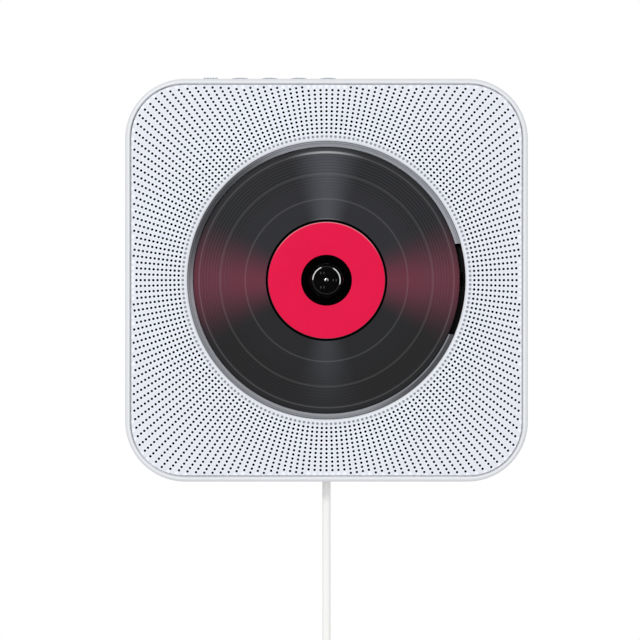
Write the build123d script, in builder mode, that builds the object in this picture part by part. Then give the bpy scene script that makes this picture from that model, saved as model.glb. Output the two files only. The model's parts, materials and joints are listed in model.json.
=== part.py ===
from build123d import *
import os
from math import acos, cos, dist, pi, radians, sin, sqrt, tan

os.makedirs("parts", exist_ok=True)

# A wall mounted CD player, in millimetres. X runs to the right as seen from the room, Z runs up and
# Y runs into the wall. The origin is the middle of the wall bracket's screw holes, on the wall plane.
# "Depth" is the distance out from the wall, so a plane at depth d lies at Y = -d.

# ---- driving dimensions: the disc and its label -----------------------------------------------
DISC_R = 60.0
DISC_T = 1.2
DISC_HOLE_R = 7.5
DISC_EDGE = 0.2
LABEL_IN_R = 11.45
LABEL_OUT_R = 26.2
LABEL_T = 0.08
MOAT_GAP = 0.2
MOAT_W = 1.0
MOAT_DEEP = 0.15

# ---- the case ----------------------------------------------------------------------------------
WELL_MARGIN = 2.5
BAND = 28.0
CASE_DEPTH = 42.0
CASE_CORNER = 27.2
WALL = 2.2
RIM_WIDTH = 2.3
RIM_CORNER_DROP = 3.0
RIM_ROUND = 1.4
GROOVE = 0.55
PANEL_T = 1.6
PANEL_LIP = 1.2
SCRIM_T = 0.4
SCRIM_INSET = 1.2
BAFFLE_T = 1.8
PAD_STAND = 1.5
COVER_H = 8.0
COVER_T = 2.2
COVER_ROUND = 3.0
LIP_H = 2.5
LIP_T = 1.5
LIP_GAP = 0.1

# ---- the well and what lies under the disc --------------------------------------------------------
DISC_RECESS = 5.2
DISC_SIDE_CLEAR = 0.5
UNDER_DISC = 1.8
TRAY_T = 2.0
TRAY_FIT = 0.15
TRAY_LAND = 0.45
TRAY_SINK = 0.5
TRAY_FLANGE_W = 4.5
TRAY_FLANGE_T = 1.8
OPEN_LEFT = 22.0
OPEN_HIGH = 16.5
OPEN_LOW = 24.4
OPEN_PAST_WELL = 7.0

# ---- traverse deck, its dampers, rods and sled ---------------------------------------------------
DECK_SINK = 0.3
DECK_CLEAR = 0.8
DECK_T = 2.5
DECK_EDGE_GAP = 0.5
DECK_LEFT = 34.0
DECK_RIGHT = 78.0
DECK_HIGH = 44.0
DECK_LOW = 36.0
DECK_CORNER = 5.0
DECK_WALL_T = 2.0
DAMPER_MID_X = 11.0
DAMPER_MID_Z = -2.0
DAMPER_SPAN_X = 78.0
DAMPER_SPAN_Z = 56.0
DAMPER_R = 4.8
DAMPER_NECK_R = 3.4
DAMPER_TAIL = 1.6
DAMPER_POST_R = 2.2
PIECE_GAP = 0.1
LENS_IN = 23.0
LENS_TRAVEL = 35.0
LENS_R = 2.0
HOLDER_R = 3.0
HOLDER_DROP = 2.5
HOLDER_GAP = 0.3
LENS_SLOT_GAP = 0.65
LENS_SLOT_END = 0.8
LENS_PROUD = 0.6
FOCUS_TRAVEL = 0.5
ROD_R = 1.5
ROD_FIT = 0.05
ROD_DROP = 4.5
ROD_MAIN_Z = 13.5
ROD_SIDE_Z = -19.5
ROD_LEFT = 8.0
ROD_POST_L = 3.5
ROD_POST_W = 5.6
ROD_POST_BELOW = 2.6
SLED_CLEAR = 0.5
SLED_T = 8.0
SLED_INNER = 10.0
SLED_OUTER = 13.0
SLED_END_GAP = 1.5
SLED_HIGH = 10.0
SLED_LOW = 22.0
SLED_RIM = 2.5
SLED_POCKET_IN = 4.0
SLED_POCKET = 2.0
BUSH_R = 3.1
FORK_GAP = 0.15
DIODE_R = 2.8
DIODE_L = 3.5

# ---- turntable and spindle motor -------------------------------------------------------------------
PLATTER_R = 14.5
PLATTER_T = 1.6
PLATTER_BOSS_R = 2.6
HUB_R = 7.2
HUB_PROUD = 2.3
HUB_ROUND = 0.9
SHAFT_R = 1.0
SHAFT_FIT = 0.04
SHAFT_PROUD = 0.3
BALL_R = 1.2
BALL_PROUD = 0.1
BALL_TRAVEL = 0.5
BALL_COUNT = 3
BALL_RISE = 0.4
BALL_FIT = 0.15
SPINDLE_MOTOR_R = 12.2
SPINDLE_MOTOR_H = 12.4
MOTOR_BOSS_R = 2.9
MOTOR_BOSS_H = 1.6
HUB_HOLE_R = 3.2

# ---- sled drive: rack, compound gear, motor pinion -----------------------------------------------
PRESSURE = 20.0
ADDENDUM = 0.75
DEDENDUM = 1.0
BACKLASH = 0.1
FINE_MODULE = 0.4
RACK_MODULE = 0.5
WHEEL_TEETH = 60
PINION_TEETH = 12
RACK_GEAR_TEETH = 14
RACK_X = 42.0
RACK_PITCH_Z = 19.0
RACK_W = 3.0
RACK_BACK = 1.6
RACK_SPARE = 3.0
WHEEL_W = 2.0
WHEEL_BELOW_SLED = 1.3
GEAR_HUB_R = 2.4
GEAR_PIN_R = 1.0
GEAR_FIT = 0.05
PIN_HEAD_T = 0.5
PIN_HEAD_R = 2.0
SLED_MOTOR_R = 10.0
SLED_MOTOR_H = 8.4
PINION_ANGLE = 135.0

# ---- wall bracket ------------------------------------------------------------------------------------
BRACKET_W = 86.0
BRACKET_H = 44.0
BRACKET_T = 2.0
BRACKET_CORNER = 5.0
WALL_SCREW_PITCH = 60.0
WALL_SCREW_R = 2.25
HOOK_X = 18.0
HOOK_W = 12.0
HOOK_ARM_Z = 8.0
HOOK_ARM_T = 3.0
HOOK_TIP_H = 5.0
HOOK_TIP_T = 2.0
HOOK_PLAY = 0.5
LIFT = 7.0
POCKET_GAP = 4.5
POCKET_MARGIN = 1.5
POCKET_WALL = 2.0

# ---- case screws, pads and boards --------------------------------------------------------------------
SCREW_R = 1.4
SCREW_HEAD_R = 2.8
SCREW_HEAD_T = 1.8
SCREW_WELL_R = 3.3
SCREW_WELL = 4.4
SCREW_GRIP = 10.0
BOSS_R = 4.0
BOSS_LIP_GAP = 0.4
BOSS_REST = 8.4
PAD_R = 6.0
PAD_SEAT = 0.5
PAD_IN = 30.0
BOARD_W = 108.0
BOARD_H = 40.0
BOARD_T = 1.6
BOARD_Z = 53.0
BOARD_D = 10.0
BOARD_POST_R = 3.0
BOARD_INSET = 4.0
CHIP_SPOTS = {(-30.0, 4.0): (12.0, 12.0), (2.0, 6.0): (9.0, 9.0), (30.0, -4.0): (10.0, 7.0)}
CHIP_H = 1.4
CAPACITOR_R = 3.2
CAPACITOR_H = 7.0
CAPACITOR_PITCH = 9.0
CAPACITOR_COUNT = 4
CAPACITOR_X = 15.0
CAPACITOR_Z = -11.0
SMALL_SCREW_R = 0.9
SMALL_HEAD_R = 2.0
SMALL_HEAD_T = 1.2
SMALL_GRIP = 4.0

# ---- speakers ------------------------------------------------------------------------------------------
SPEAKER_R = 18.0
SPEAKER_RIM_T = 1.5
SPEAKER_RIM_W = 2.2
SPEAKER_H = 11.0
BASKET_T = 0.9
BASKET_FOOT_R = 9.5
MAGNET_R = 11.0
MAGNET_T = 5.5
SURROUND_W = 2.4
SURROUND_SEAT = 0.02
CONE_GAP = 0.3
CONE_T = 0.5
CONE_H = 6.0
COIL_R = 4.5
SPEAKER_WELL_GAP = 0.7

# ---- controls along the top -------------------------------------------------------------------------
KEY_FIRST_X = -39.0
KEY_PITCH = 13.27
KEY_W = 7.3
KEY_DEEP = 5.2
KEY_PROUD = 1.1
KEY_SHOULDER = 0.15
KEY_GAP = 0.2
KEY_LIP = 0.9
KEY_FLANGE_T = 1.0
KEY_STEM_R = 1.5
KEY_TRAVEL = 0.7
KEY_ROW_D = 24.0
KEY_BOARD_DROP = 7.3
KEY_BOARD_W = 15.0
KEY_BOARD_END = 6.0
KEY_BOARD_SPARE = 1.0
KEY_POST_R = 1.8
KEY_POST_BACK = 5.0
TACT_SIDE = 6.0
TACT_H = 3.5
TACT_STEM_R = 1.7
TACT_STEM_H = 0.7
KNOB_W = 7.4
KNOB_TOP_W = 6.0
KNOB_NECK_W = 5.0
KNOB_NECK_DEEP = 2.6
KNOB_TRAVEL = 1.5
KNOB_RIDGES = 5
KNOB_RIDGE_R = 0.3
SLIDE_SWITCH_W = 12.0
SLIDE_SWITCH_DEEP = 5.6
SLIDE_SWITCH_H = 4.0

# ---- pull switch and lead -----------------------------------------------------------------------------
CORD_R = 1.9
CORD_DEPTH = 22.0
CORD_DROP = 75.5
GROMMET_R = 4.0
GROMMET_FLANGE_R = 5.2
GROMMET_FLANGE_T = 1.0
CORD_GAP = 0.35
SWITCH_W = 17.0
SWITCH_DEEP = 15.0
SWITCH_H = 25.0
SWITCH_FLOOR_T = 1.5
SWITCH_WALL = 1.6
PLUNGER_R = 4.4
PLUNGER_H = 6.0
PLUNGER_GAP = 0.3
PULL_TRAVEL = 5.0
SPRING_WIRE_R = 0.4
SPRING_R = 3.2
SPRING_H = 10.0
SPRING_TURNS = 6
HANK_RUN = 75.0
HANK_TURNS = 3
HANK_STEP = 5.0
LAYER_STEP = 4.4
WAIST_GAP = 1.2
FOLD_R = 12.4
HANK_CLEAR = 5.0
TIE_W = 10.0
TIE_T = 0.9
TIE_GAP = 0.3
TIE_CORNER = 3.0
PLUG_W = 15.4
PLUG_T = 7.6
PLUG_L = 24.0
PLUG_CORNER = 1.6
PLUG_NECK = 9.0
PLUG_NECK_R = 3.04
PLUG_NECK_WALL = 0.38
PLUG_SHELL_W = 12.0
PLUG_SHELL_T = 4.5
PLUG_SHELL_L = 13.0
PLUG_SHELL_WALL = 0.35
PLUG_TONGUE_T = 1.8

# ---- worked out from the sizes above ----------------------------------------------------------------
WELL_R = DISC_R + WELL_MARGIN
CASE_HALF = WELL_R + BAND
CASE_SIDE = 2 * CASE_HALF
INNER_HALF = CASE_HALF - WALL
RIM_HALF = CASE_HALF - RIM_WIDTH
RIM_CORNER = CASE_CORNER - RIM_CORNER_DROP
PANEL_HALF = RIM_HALF - GROOVE
PANEL_CORNER = RIM_CORNER - GROOVE

BACK_D = PAD_STAND
SEAM_D = BACK_D + COVER_H
FRONT_D = BACK_D + CASE_DEPTH
PANEL_BACK_D = FRONT_D - PANEL_T
BAFFLE_FRONT_D = PANEL_BACK_D - SCRIM_T
BAFFLE_BACK_D = BAFFLE_FRONT_D - BAFFLE_T
DISC_FRONT_D = FRONT_D - DISC_RECESS
DISC_BACK_D = DISC_FRONT_D - DISC_T
TRAY_FLOOR_D = DISC_BACK_D - UNDER_DISC
TRAY_UNDER_D = TRAY_FLOOR_D - TRAY_T
TRAY_TOP_D = FRONT_D - TRAY_SINK
TRAY_OUT_R = WELL_R - TRAY_FIT
TRAY_IN_R = DISC_R + DISC_SIDE_CLEAR
OPEN_RIGHT = WELL_R + OPEN_PAST_WELL

DECK_TOP_D = TRAY_FLOOR_D - DECK_SINK
DECK_STEP_D = TRAY_UNDER_D - DECK_CLEAR
DECK_UNDER_D = DECK_STEP_D - DECK_T
ROD_D = DECK_UNDER_D - ROD_DROP
SLED_TOP_D = DECK_UNDER_D - SLED_CLEAR
SLED_BACK_D = SLED_TOP_D - SLED_T
DAMPER_SPOTS = [
    (DAMPER_MID_X + side * DAMPER_SPAN_X / 2, DAMPER_MID_Z + up * DAMPER_SPAN_Z / 2)
    for side in (-1, 1)
    for up in (-1, 1)
]
DAMPER_BACK_D = DECK_UNDER_D - DAMPER_TAIL
LENS_SLOT_HALF = HOLDER_R + LENS_SLOT_GAP
LENS_SLOT_LEFT = LENS_IN - LENS_SLOT_HALF
LENS_SLOT_RIGHT = LENS_IN + LENS_TRAVEL + HOLDER_R + LENS_SLOT_END
ROD_RIGHT = LENS_IN + LENS_TRAVEL + SLED_OUTER + SLED_END_GAP + ROD_POST_L
ROD_L = ROD_RIGHT - ROD_LEFT
ROD_POST_XS = (ROD_LEFT + ROD_POST_L / 2, ROD_RIGHT - ROD_POST_L / 2)

PLATTER_TOP_D = DISC_BACK_D
HUB_TOP_D = DISC_FRONT_D + HUB_PROUD
SHAFT_TIP_D = HUB_TOP_D + SHAFT_PROUD
SPINDLE_MOTOR_D = DECK_UNDER_D - SPINDLE_MOTOR_H
BALL_AT = HUB_R + BALL_PROUD - BALL_R
BALL_D = DISC_FRONT_D + BALL_RISE

RACK_GEAR_R = RACK_MODULE * RACK_GEAR_TEETH / 2
WHEEL_R = FINE_MODULE * WHEEL_TEETH / 2
PINION_R = FINE_MODULE * PINION_TEETH / 2
GEAR_Z = RACK_PITCH_Z + RACK_GEAR_R
GEAR_CENTRES = WHEEL_R + PINION_R
PINION_X = RACK_X + GEAR_CENTRES * cos(radians(PINION_ANGLE))
PINION_Z = GEAR_Z + GEAR_CENTRES * sin(radians(PINION_ANGLE))
RACK_MID_D = ROD_D
WHEEL_TOP_D = SLED_BACK_D - WHEEL_BELOW_SLED
WHEEL_BACK_D = WHEEL_TOP_D - WHEEL_W
SLED_MOTOR_BACK_D = DECK_UNDER_D - SLED_MOTOR_H
GEAR_PIN_END_D = WHEEL_BACK_D - PIN_HEAD_T - PIECE_GAP

POCKET_FLOOR_D = BRACKET_T + POCKET_GAP
POCKET_INNER_D = POCKET_FLOOR_D + POCKET_WALL
POCKET_HIGH = BRACKET_H / 2 + POCKET_MARGIN
POCKET_LOW = -BRACKET_H / 2 - LIFT - POCKET_MARGIN
POCKET_W = BRACKET_W + 2 * POCKET_MARGIN
POCKET_H = POCKET_HIGH - POCKET_LOW
POCKET_Z = (POCKET_HIGH + POCKET_LOW) / 2
HOOK_TIP_D = POCKET_INNER_D + HOOK_PLAY
HOOK_END_D = HOOK_TIP_D + HOOK_TIP_T

BOSS_OUT = CASE_CORNER - WALL - LIP_GAP - LIP_T - BOSS_LIP_GAP - BOSS_R
BOSS_AT = CASE_HALF - CASE_CORNER + BOSS_OUT / sqrt(2)
BOSS_SPOTS = [(side * BOSS_AT, up * BOSS_AT) for side in (-1, 1) for up in (-1, 1)]
BOSS_END_D = BACK_D + BOSS_REST
SCREW_SEAT_D = BACK_D + SCREW_WELL
PAD_AT = CASE_HALF - PAD_IN
PAD_SPOTS = [(side * PAD_AT, up * PAD_AT) for side in (-1, 1) for up in (-1, 1)]

SPEAKER_AT = (TRAY_OUT_R + TRAY_FLANGE_W + SPEAKER_WELL_GAP + SPEAKER_R) / sqrt(2)
SPEAKER_SPOTS = {"left": (-SPEAKER_AT, -SPEAKER_AT), "right": (SPEAKER_AT, -SPEAKER_AT)}
SPEAKER_WINDOW_R = SPEAKER_R - SPEAKER_RIM_W
SURROUND_IN_R = SPEAKER_WINDOW_R - SURROUND_W
CONE_R = SURROUND_IN_R - CONE_GAP
SPEAKER_RIM_D = BAFFLE_BACK_D - SPEAKER_RIM_T
BASKET_BACK_D = BAFFLE_BACK_D - SPEAKER_H

KEY_NAMES = ("stop_button", "play_button", "previous_button", "next_button")
KEY_XS = [KEY_FIRST_X + place * KEY_PITCH for place in range(len(KEY_NAMES))]
KNOB_X = KEY_FIRST_X - KEY_PITCH
KEY_BOARD_Z = INNER_HALF - KEY_BOARD_DROP
KEY_POST_XS = (KEY_FIRST_X - KEY_PITCH / 2, KEY_XS[-1] - KEY_PITCH / 2)
KEY_POST_SPOTS = [(x, -KEY_ROW_D - KEY_POST_BACK) for x in KEY_POST_XS]
KEY_BOARD_LEFT = KNOB_X - SLIDE_SWITCH_W / 2 - KEY_BOARD_SPARE
KEY_BOARD_RIGHT = KEY_XS[-1] + KEY_BOARD_END
TACT_TOP_Z = KEY_BOARD_Z + TACT_H + TACT_STEM_H
KEY_FLANGE_Z = INNER_HALF - KEY_FLANGE_T

SWITCH_FLOOR_Z = -INNER_HALF + GROMMET_FLANGE_T + PIECE_GAP
SWITCH_INNER_Z = SWITCH_FLOOR_Z + SWITCH_FLOOR_T
SPRING_TOP_Z = SWITCH_INNER_Z + SPRING_H
PLUNGER_TOP_Z = SPRING_TOP_Z + PLUNGER_H
CORD_D = 2 * CORD_R
CORD_END_Z = -CASE_HALF - CORD_DROP
FOLD_MAX_R = FOLD_R + (HANK_TURNS - 1) * HANK_STEP
WAIST_IN = FOLD_R - CORD_R - WAIST_GAP / 2
RUN_TOP_Z = CORD_END_Z - HANK_CLEAR - FOLD_MAX_R - CORD_R
RUN_END_Z = RUN_TOP_Z - HANK_RUN
TAIL_END_Z = RUN_END_Z - FOLD_MAX_R - CORD_R - HANK_CLEAR
PLUG_END_Z = TAIL_END_Z - PLUG_NECK - PLUG_L


def depth_plane(depth):
    """The plane parallel to the wall at this depth: local x is X, local y is Z, normal to the room."""
    return Plane.XZ.offset(depth)


def draw_section(*corners):
    """Draws a closed outline of (radius, depth) corners in the open sketch, to be turned about an
    axis square to the wall."""
    Polygon(*[(radius, -depth) for radius, depth in corners], align=None)


def tooth_half_angle(radius, pitch_radius, teeth):
    """Half the angle that an involute tooth fills at this radius, thinned by half the backlash."""
    base_radius = pitch_radius * cos(radians(PRESSURE))
    slope = acos(min(1.0, base_radius / radius))
    at_pitch = radians(PRESSURE)
    thin = BACKLASH / 4 / pitch_radius
    return pi / (2 * teeth) - thin + (tan(at_pitch) - at_pitch) - (tan(slope) - slope)


def draw_gear(teeth, module, tooth_at, middle):
    """Draws a spur gear in the open sketch, with the middle of one tooth at the angle given."""
    pitch_radius = module * teeth / 2
    radii = (pitch_radius - DEDENDUM * module, pitch_radius, pitch_radius + ADDENDUM * module)
    rising = [(radius, -tooth_half_angle(radius, pitch_radius, teeth)) for radius in radii]
    tooth = rising + [(radius, -half) for radius, half in reversed(rising)]
    corners = []
    for place in range(teeth):
        tooth_angle = radians(tooth_at + 360 / teeth * place)
        for radius, off in tooth:
            angle = tooth_angle + off
            corners.append((middle[0] + radius * cos(angle), middle[1] + radius * sin(angle)))
    Polygon(*corners, align=None)


def write(piece, name):
    """Labels a finished piece with its name and writes it to the parts folder."""
    piece.part.label = name
    export_step(piece.part, f"parts/{name}.step")


# ---- the wall bracket: a plate with two upturned hooks ------------------------------------------------
with BuildPart() as wall_bracket:
    with BuildSketch(depth_plane(0)):
        RectangleRounded(BRACKET_W, BRACKET_H, BRACKET_CORNER)
        with GridLocations(WALL_SCREW_PITCH, 0, 2, 1):
            Circle(WALL_SCREW_R, mode=Mode.SUBTRACT)
    extrude(amount=BRACKET_T)
    with BuildSketch(depth_plane(BRACKET_T)):
        with Locations((-HOOK_X, HOOK_ARM_Z + HOOK_ARM_T / 2), (HOOK_X, HOOK_ARM_Z + HOOK_ARM_T / 2)):
            Rectangle(HOOK_W, HOOK_ARM_T)
    extrude(amount=HOOK_END_D - BRACKET_T)
    hook_top = HOOK_ARM_T + HOOK_TIP_H
    with BuildSketch(depth_plane(HOOK_TIP_D)):
        with Locations((-HOOK_X, HOOK_ARM_Z + hook_top / 2), (HOOK_X, HOOK_ARM_Z + hook_top / 2)):
            Rectangle(HOOK_W, hook_top)
    extrude(amount=HOOK_TIP_T)
    tips = wall_bracket.edges().filter_by(Axis.X).group_by(Axis.Z)[-1].group_by(Axis.Y)[-1]
    hook_edges = tips.filter_by(lambda edge: edge.center().Y < -HOOK_TIP_D + 0.01)
    if hook_edges:
        chamfer(hook_edges, HOOK_TIP_T / 2)
write(wall_bracket, "wall_bracket")

# ---- the front housing: side walls, rim, and the baffle that carries everything --------------------
with BuildPart() as front_shell:
    with BuildSketch(depth_plane(SEAM_D)):
        RectangleRounded(CASE_SIDE, CASE_SIDE, CASE_CORNER)
    extrude(amount=FRONT_D - SEAM_D)
    fillet(front_shell.faces().sort_by(Axis.Y)[0].edges(), RIM_ROUND)
    with BuildSketch(depth_plane(SEAM_D)):
        RectangleRounded(2 * INNER_HALF, 2 * INNER_HALF, CASE_CORNER - WALL)
    extrude(amount=BAFFLE_BACK_D - SEAM_D, mode=Mode.SUBTRACT)
    with BuildSketch(depth_plane(BAFFLE_FRONT_D)):
        RectangleRounded(2 * RIM_HALF, 2 * RIM_HALF, RIM_CORNER)
    extrude(amount=FRONT_D - BAFFLE_FRONT_D, mode=Mode.SUBTRACT)
    with BuildSketch(depth_plane(BOSS_END_D)):
        with Locations(*BOSS_SPOTS):
            Circle(BOSS_R)
    extrude(amount=BAFFLE_BACK_D - BOSS_END_D)
    with BuildSketch(depth_plane(BAFFLE_BACK_D)):
        Circle(TRAY_OUT_R + TRAY_FIT)
        with Locations(*SPEAKER_SPOTS.values()):
            Circle(SPEAKER_WINDOW_R)
    extrude(amount=BAFFLE_T, mode=Mode.SUBTRACT)
    with BuildSketch(depth_plane(BOSS_END_D)):
        with Locations(*BOSS_SPOTS):
            Circle(SCREW_R)
    extrude(amount=SCREW_GRIP, mode=Mode.SUBTRACT)
    with BuildSketch(Plane.XY.offset(KEY_BOARD_Z)):
        with Locations(*KEY_POST_SPOTS):
            Circle(KEY_POST_R)
    extrude(amount=INNER_HALF - KEY_BOARD_Z)
    with BuildSketch(Plane.XY.offset(KEY_BOARD_Z)):
        with Locations(*KEY_POST_SPOTS):
            Circle(SMALL_SCREW_R)
    extrude(amount=SMALL_GRIP, mode=Mode.SUBTRACT)
    with BuildSketch(Plane.XY.offset(INNER_HALF)):
        with Locations(*[(x, -KEY_ROW_D) for x in KEY_XS]):
            Rectangle(KEY_W + 2 * KEY_GAP, KEY_DEEP + 2 * KEY_GAP)
        with Locations((KNOB_X, -KEY_ROW_D)):
            slot_w = KNOB_NECK_W + 2 * (KNOB_TRAVEL + KEY_GAP)
            Rectangle(slot_w, KNOB_NECK_DEEP + 2 * KEY_GAP)
    extrude(amount=WALL, mode=Mode.SUBTRACT)
    with BuildSketch(Plane.XY.offset(-CASE_HALF)):
        with Locations((0, -CORD_DEPTH)):
            Circle(GROMMET_R)
    extrude(amount=WALL, mode=Mode.SUBTRACT)
write(front_shell, "front_shell")

# ---- the perforated panel and the dust cloth behind it --------------------------------------------------
with BuildPart() as grille_panel:
    with BuildSketch(depth_plane(PANEL_BACK_D)):
        RectangleRounded(2 * PANEL_HALF, 2 * PANEL_HALF, PANEL_CORNER)
        Circle(WELL_R, mode=Mode.SUBTRACT)
    extrude(amount=PANEL_T)
    well_edge = grille_panel.edges().filter_by(GeomType.CIRCLE).sort_by(Edge.length)[-2:]
    fillet(well_edge.sort_by(Axis.Y)[0], PANEL_LIP)
write(grille_panel, "grille_panel")

with BuildPart() as grille_scrim:
    with BuildSketch(depth_plane(BAFFLE_FRONT_D)):
        scrim_half = PANEL_HALF - SCRIM_INSET
        RectangleRounded(2 * scrim_half, 2 * scrim_half, PANEL_CORNER - SCRIM_INSET)
        Circle(WELL_R + SCRIM_INSET, mode=Mode.SUBTRACT)
    extrude(amount=SCRIM_T)
write(grille_scrim, "grille_scrim")

# ---- the well: a turned dish with a sloping wall, cut open for the traverse deck -----------------------
with BuildPart() as disc_tray:
    with BuildSketch():
        draw_section(
            (0, TRAY_UNDER_D),
            (TRAY_OUT_R, TRAY_UNDER_D),
            (TRAY_OUT_R, BAFFLE_BACK_D - TRAY_FLANGE_T),
            (TRAY_OUT_R + TRAY_FLANGE_W, BAFFLE_BACK_D - TRAY_FLANGE_T),
            (TRAY_OUT_R + TRAY_FLANGE_W, BAFFLE_BACK_D),
            (TRAY_OUT_R, BAFFLE_BACK_D),
            (TRAY_OUT_R, TRAY_TOP_D),
            (TRAY_OUT_R - TRAY_LAND, TRAY_TOP_D),
            (TRAY_IN_R, DISC_BACK_D),
            (TRAY_IN_R, TRAY_FLOOR_D),
            (0, TRAY_FLOOR_D),
        )
    revolve(axis=Axis.Y)
    with BuildSketch(depth_plane(TRAY_UNDER_D)):
        with Locations(((OPEN_RIGHT - OPEN_LEFT) / 2, (OPEN_HIGH - OPEN_LOW) / 2)):
            Rectangle(OPEN_RIGHT + OPEN_LEFT, OPEN_HIGH + OPEN_LOW)
    extrude(amount=FRONT_D - TRAY_UNDER_D, mode=Mode.SUBTRACT)
    with BuildSketch(depth_plane(DAMPER_BACK_D)):
        with Locations(*DAMPER_SPOTS):
            Circle(DAMPER_POST_R)
    extrude(amount=TRAY_UNDER_D - DAMPER_BACK_D)
    with BuildSketch(depth_plane(DAMPER_BACK_D)):
        with Locations(*DAMPER_SPOTS):
            Circle(SMALL_SCREW_R)
    extrude(amount=SMALL_GRIP, mode=Mode.SUBTRACT)
write(disc_tray, "disc_tray")

# ---- the back cover: a shallow tray with the bracket's pocket ----------------------------------------
with BuildPart() as back_cover:
    with BuildSketch(depth_plane(BACK_D)):
        RectangleRounded(CASE_SIDE, CASE_SIDE, CASE_CORNER)
    extrude(amount=COVER_H)
    fillet(back_cover.faces().sort_by(Axis.Y)[-1].edges(), COVER_ROUND)
    lip_half = INNER_HALF - LIP_GAP
    lip_corner = CASE_CORNER - WALL - LIP_GAP
    with BuildSketch(depth_plane(SEAM_D)):
        RectangleRounded(2 * lip_half, 2 * lip_half, lip_corner)
    extrude(amount=LIP_H)
    with BuildSketch(depth_plane(BACK_D + COVER_T)):
        RectangleRounded(2 * (lip_half - LIP_T), 2 * (lip_half - LIP_T), lip_corner - LIP_T)
    extrude(amount=COVER_H + LIP_H - COVER_T, mode=Mode.SUBTRACT)
    with BuildSketch(depth_plane(BACK_D + COVER_T / 2)):
        with Locations(*BOSS_SPOTS):
            Circle(BOSS_R)
    extrude(amount=BOSS_REST - COVER_T / 2)
    with BuildSketch(depth_plane(BACK_D + COVER_T / 2)):
        with Locations((0, POCKET_Z)):
            Rectangle(POCKET_W + 2 * POCKET_WALL, POCKET_H + 2 * POCKET_WALL)
    extrude(amount=POCKET_INNER_D - BACK_D - COVER_T / 2)
    with BuildSketch(depth_plane(BACK_D + COVER_T / 2)):
        with Locations((0, BOARD_Z)):
            with GridLocations(BOARD_W - 2 * BOARD_INSET, BOARD_H - 2 * BOARD_INSET, 2, 2):
                Circle(BOARD_POST_R)
    extrude(amount=BOARD_D - BACK_D - COVER_T / 2)
    with BuildSketch(depth_plane(BOARD_D)):
        with Locations((0, BOARD_Z)):
            with GridLocations(BOARD_W - 2 * BOARD_INSET, BOARD_H - 2 * BOARD_INSET, 2, 2):
                Circle(SMALL_SCREW_R)
    extrude(amount=-SMALL_GRIP, mode=Mode.SUBTRACT)
    with BuildSketch(depth_plane(BACK_D)):
        with Locations((0, POCKET_Z)):
            Rectangle(POCKET_W, POCKET_H)
    extrude(amount=POCKET_FLOOR_D - BACK_D, mode=Mode.SUBTRACT)
    slot_low = HOOK_ARM_Z - LIFT - HOOK_PLAY
    slot_high = HOOK_ARM_Z + HOOK_ARM_T
    with BuildSketch(depth_plane(POCKET_FLOOR_D)):
        slot_z = (slot_low + slot_high) / 2
        with Locations((-HOOK_X, slot_z), (HOOK_X, slot_z)):
            Rectangle(HOOK_W + 2 * HOOK_PLAY, slot_high - slot_low)
    extrude(amount=POCKET_WALL, mode=Mode.SUBTRACT)
    with BuildSketch(depth_plane(BACK_D)):
        with Locations(*BOSS_SPOTS):
            Circle(SCREW_WELL_R)
    extrude(amount=SCREW_WELL, mode=Mode.SUBTRACT)
    with BuildSketch(depth_plane(BACK_D)):
        with Locations(*BOSS_SPOTS):
            Circle(SCREW_R + PIECE_GAP)
    extrude(amount=BOSS_REST, mode=Mode.SUBTRACT)
    with BuildSketch(depth_plane(BACK_D)):
        with Locations(*PAD_SPOTS):
            Circle(PAD_R)
    extrude(amount=PAD_SEAT, mode=Mode.SUBTRACT)
write(back_cover, "back_cover")

with BuildPart() as case_screws:
    with BuildSketch(depth_plane(SCREW_SEAT_D - SCREW_HEAD_T)):
        with Locations(*BOSS_SPOTS):
            Circle(SCREW_HEAD_R)
    extrude(amount=SCREW_HEAD_T)
    with BuildSketch(depth_plane(SCREW_SEAT_D)):
        with Locations(*BOSS_SPOTS):
            Circle(SCREW_R)
    extrude(amount=BOSS_END_D + SCREW_GRIP - SCREW_SEAT_D - PIECE_GAP)
write(case_screws, "case_screws")

with BuildPart() as wall_pads:
    with BuildSketch(depth_plane(0)):
        with Locations(*PAD_SPOTS):
            Circle(PAD_R)
    extrude(amount=PAD_STAND + PAD_SEAT)
write(wall_pads, "wall_pads")

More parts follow.
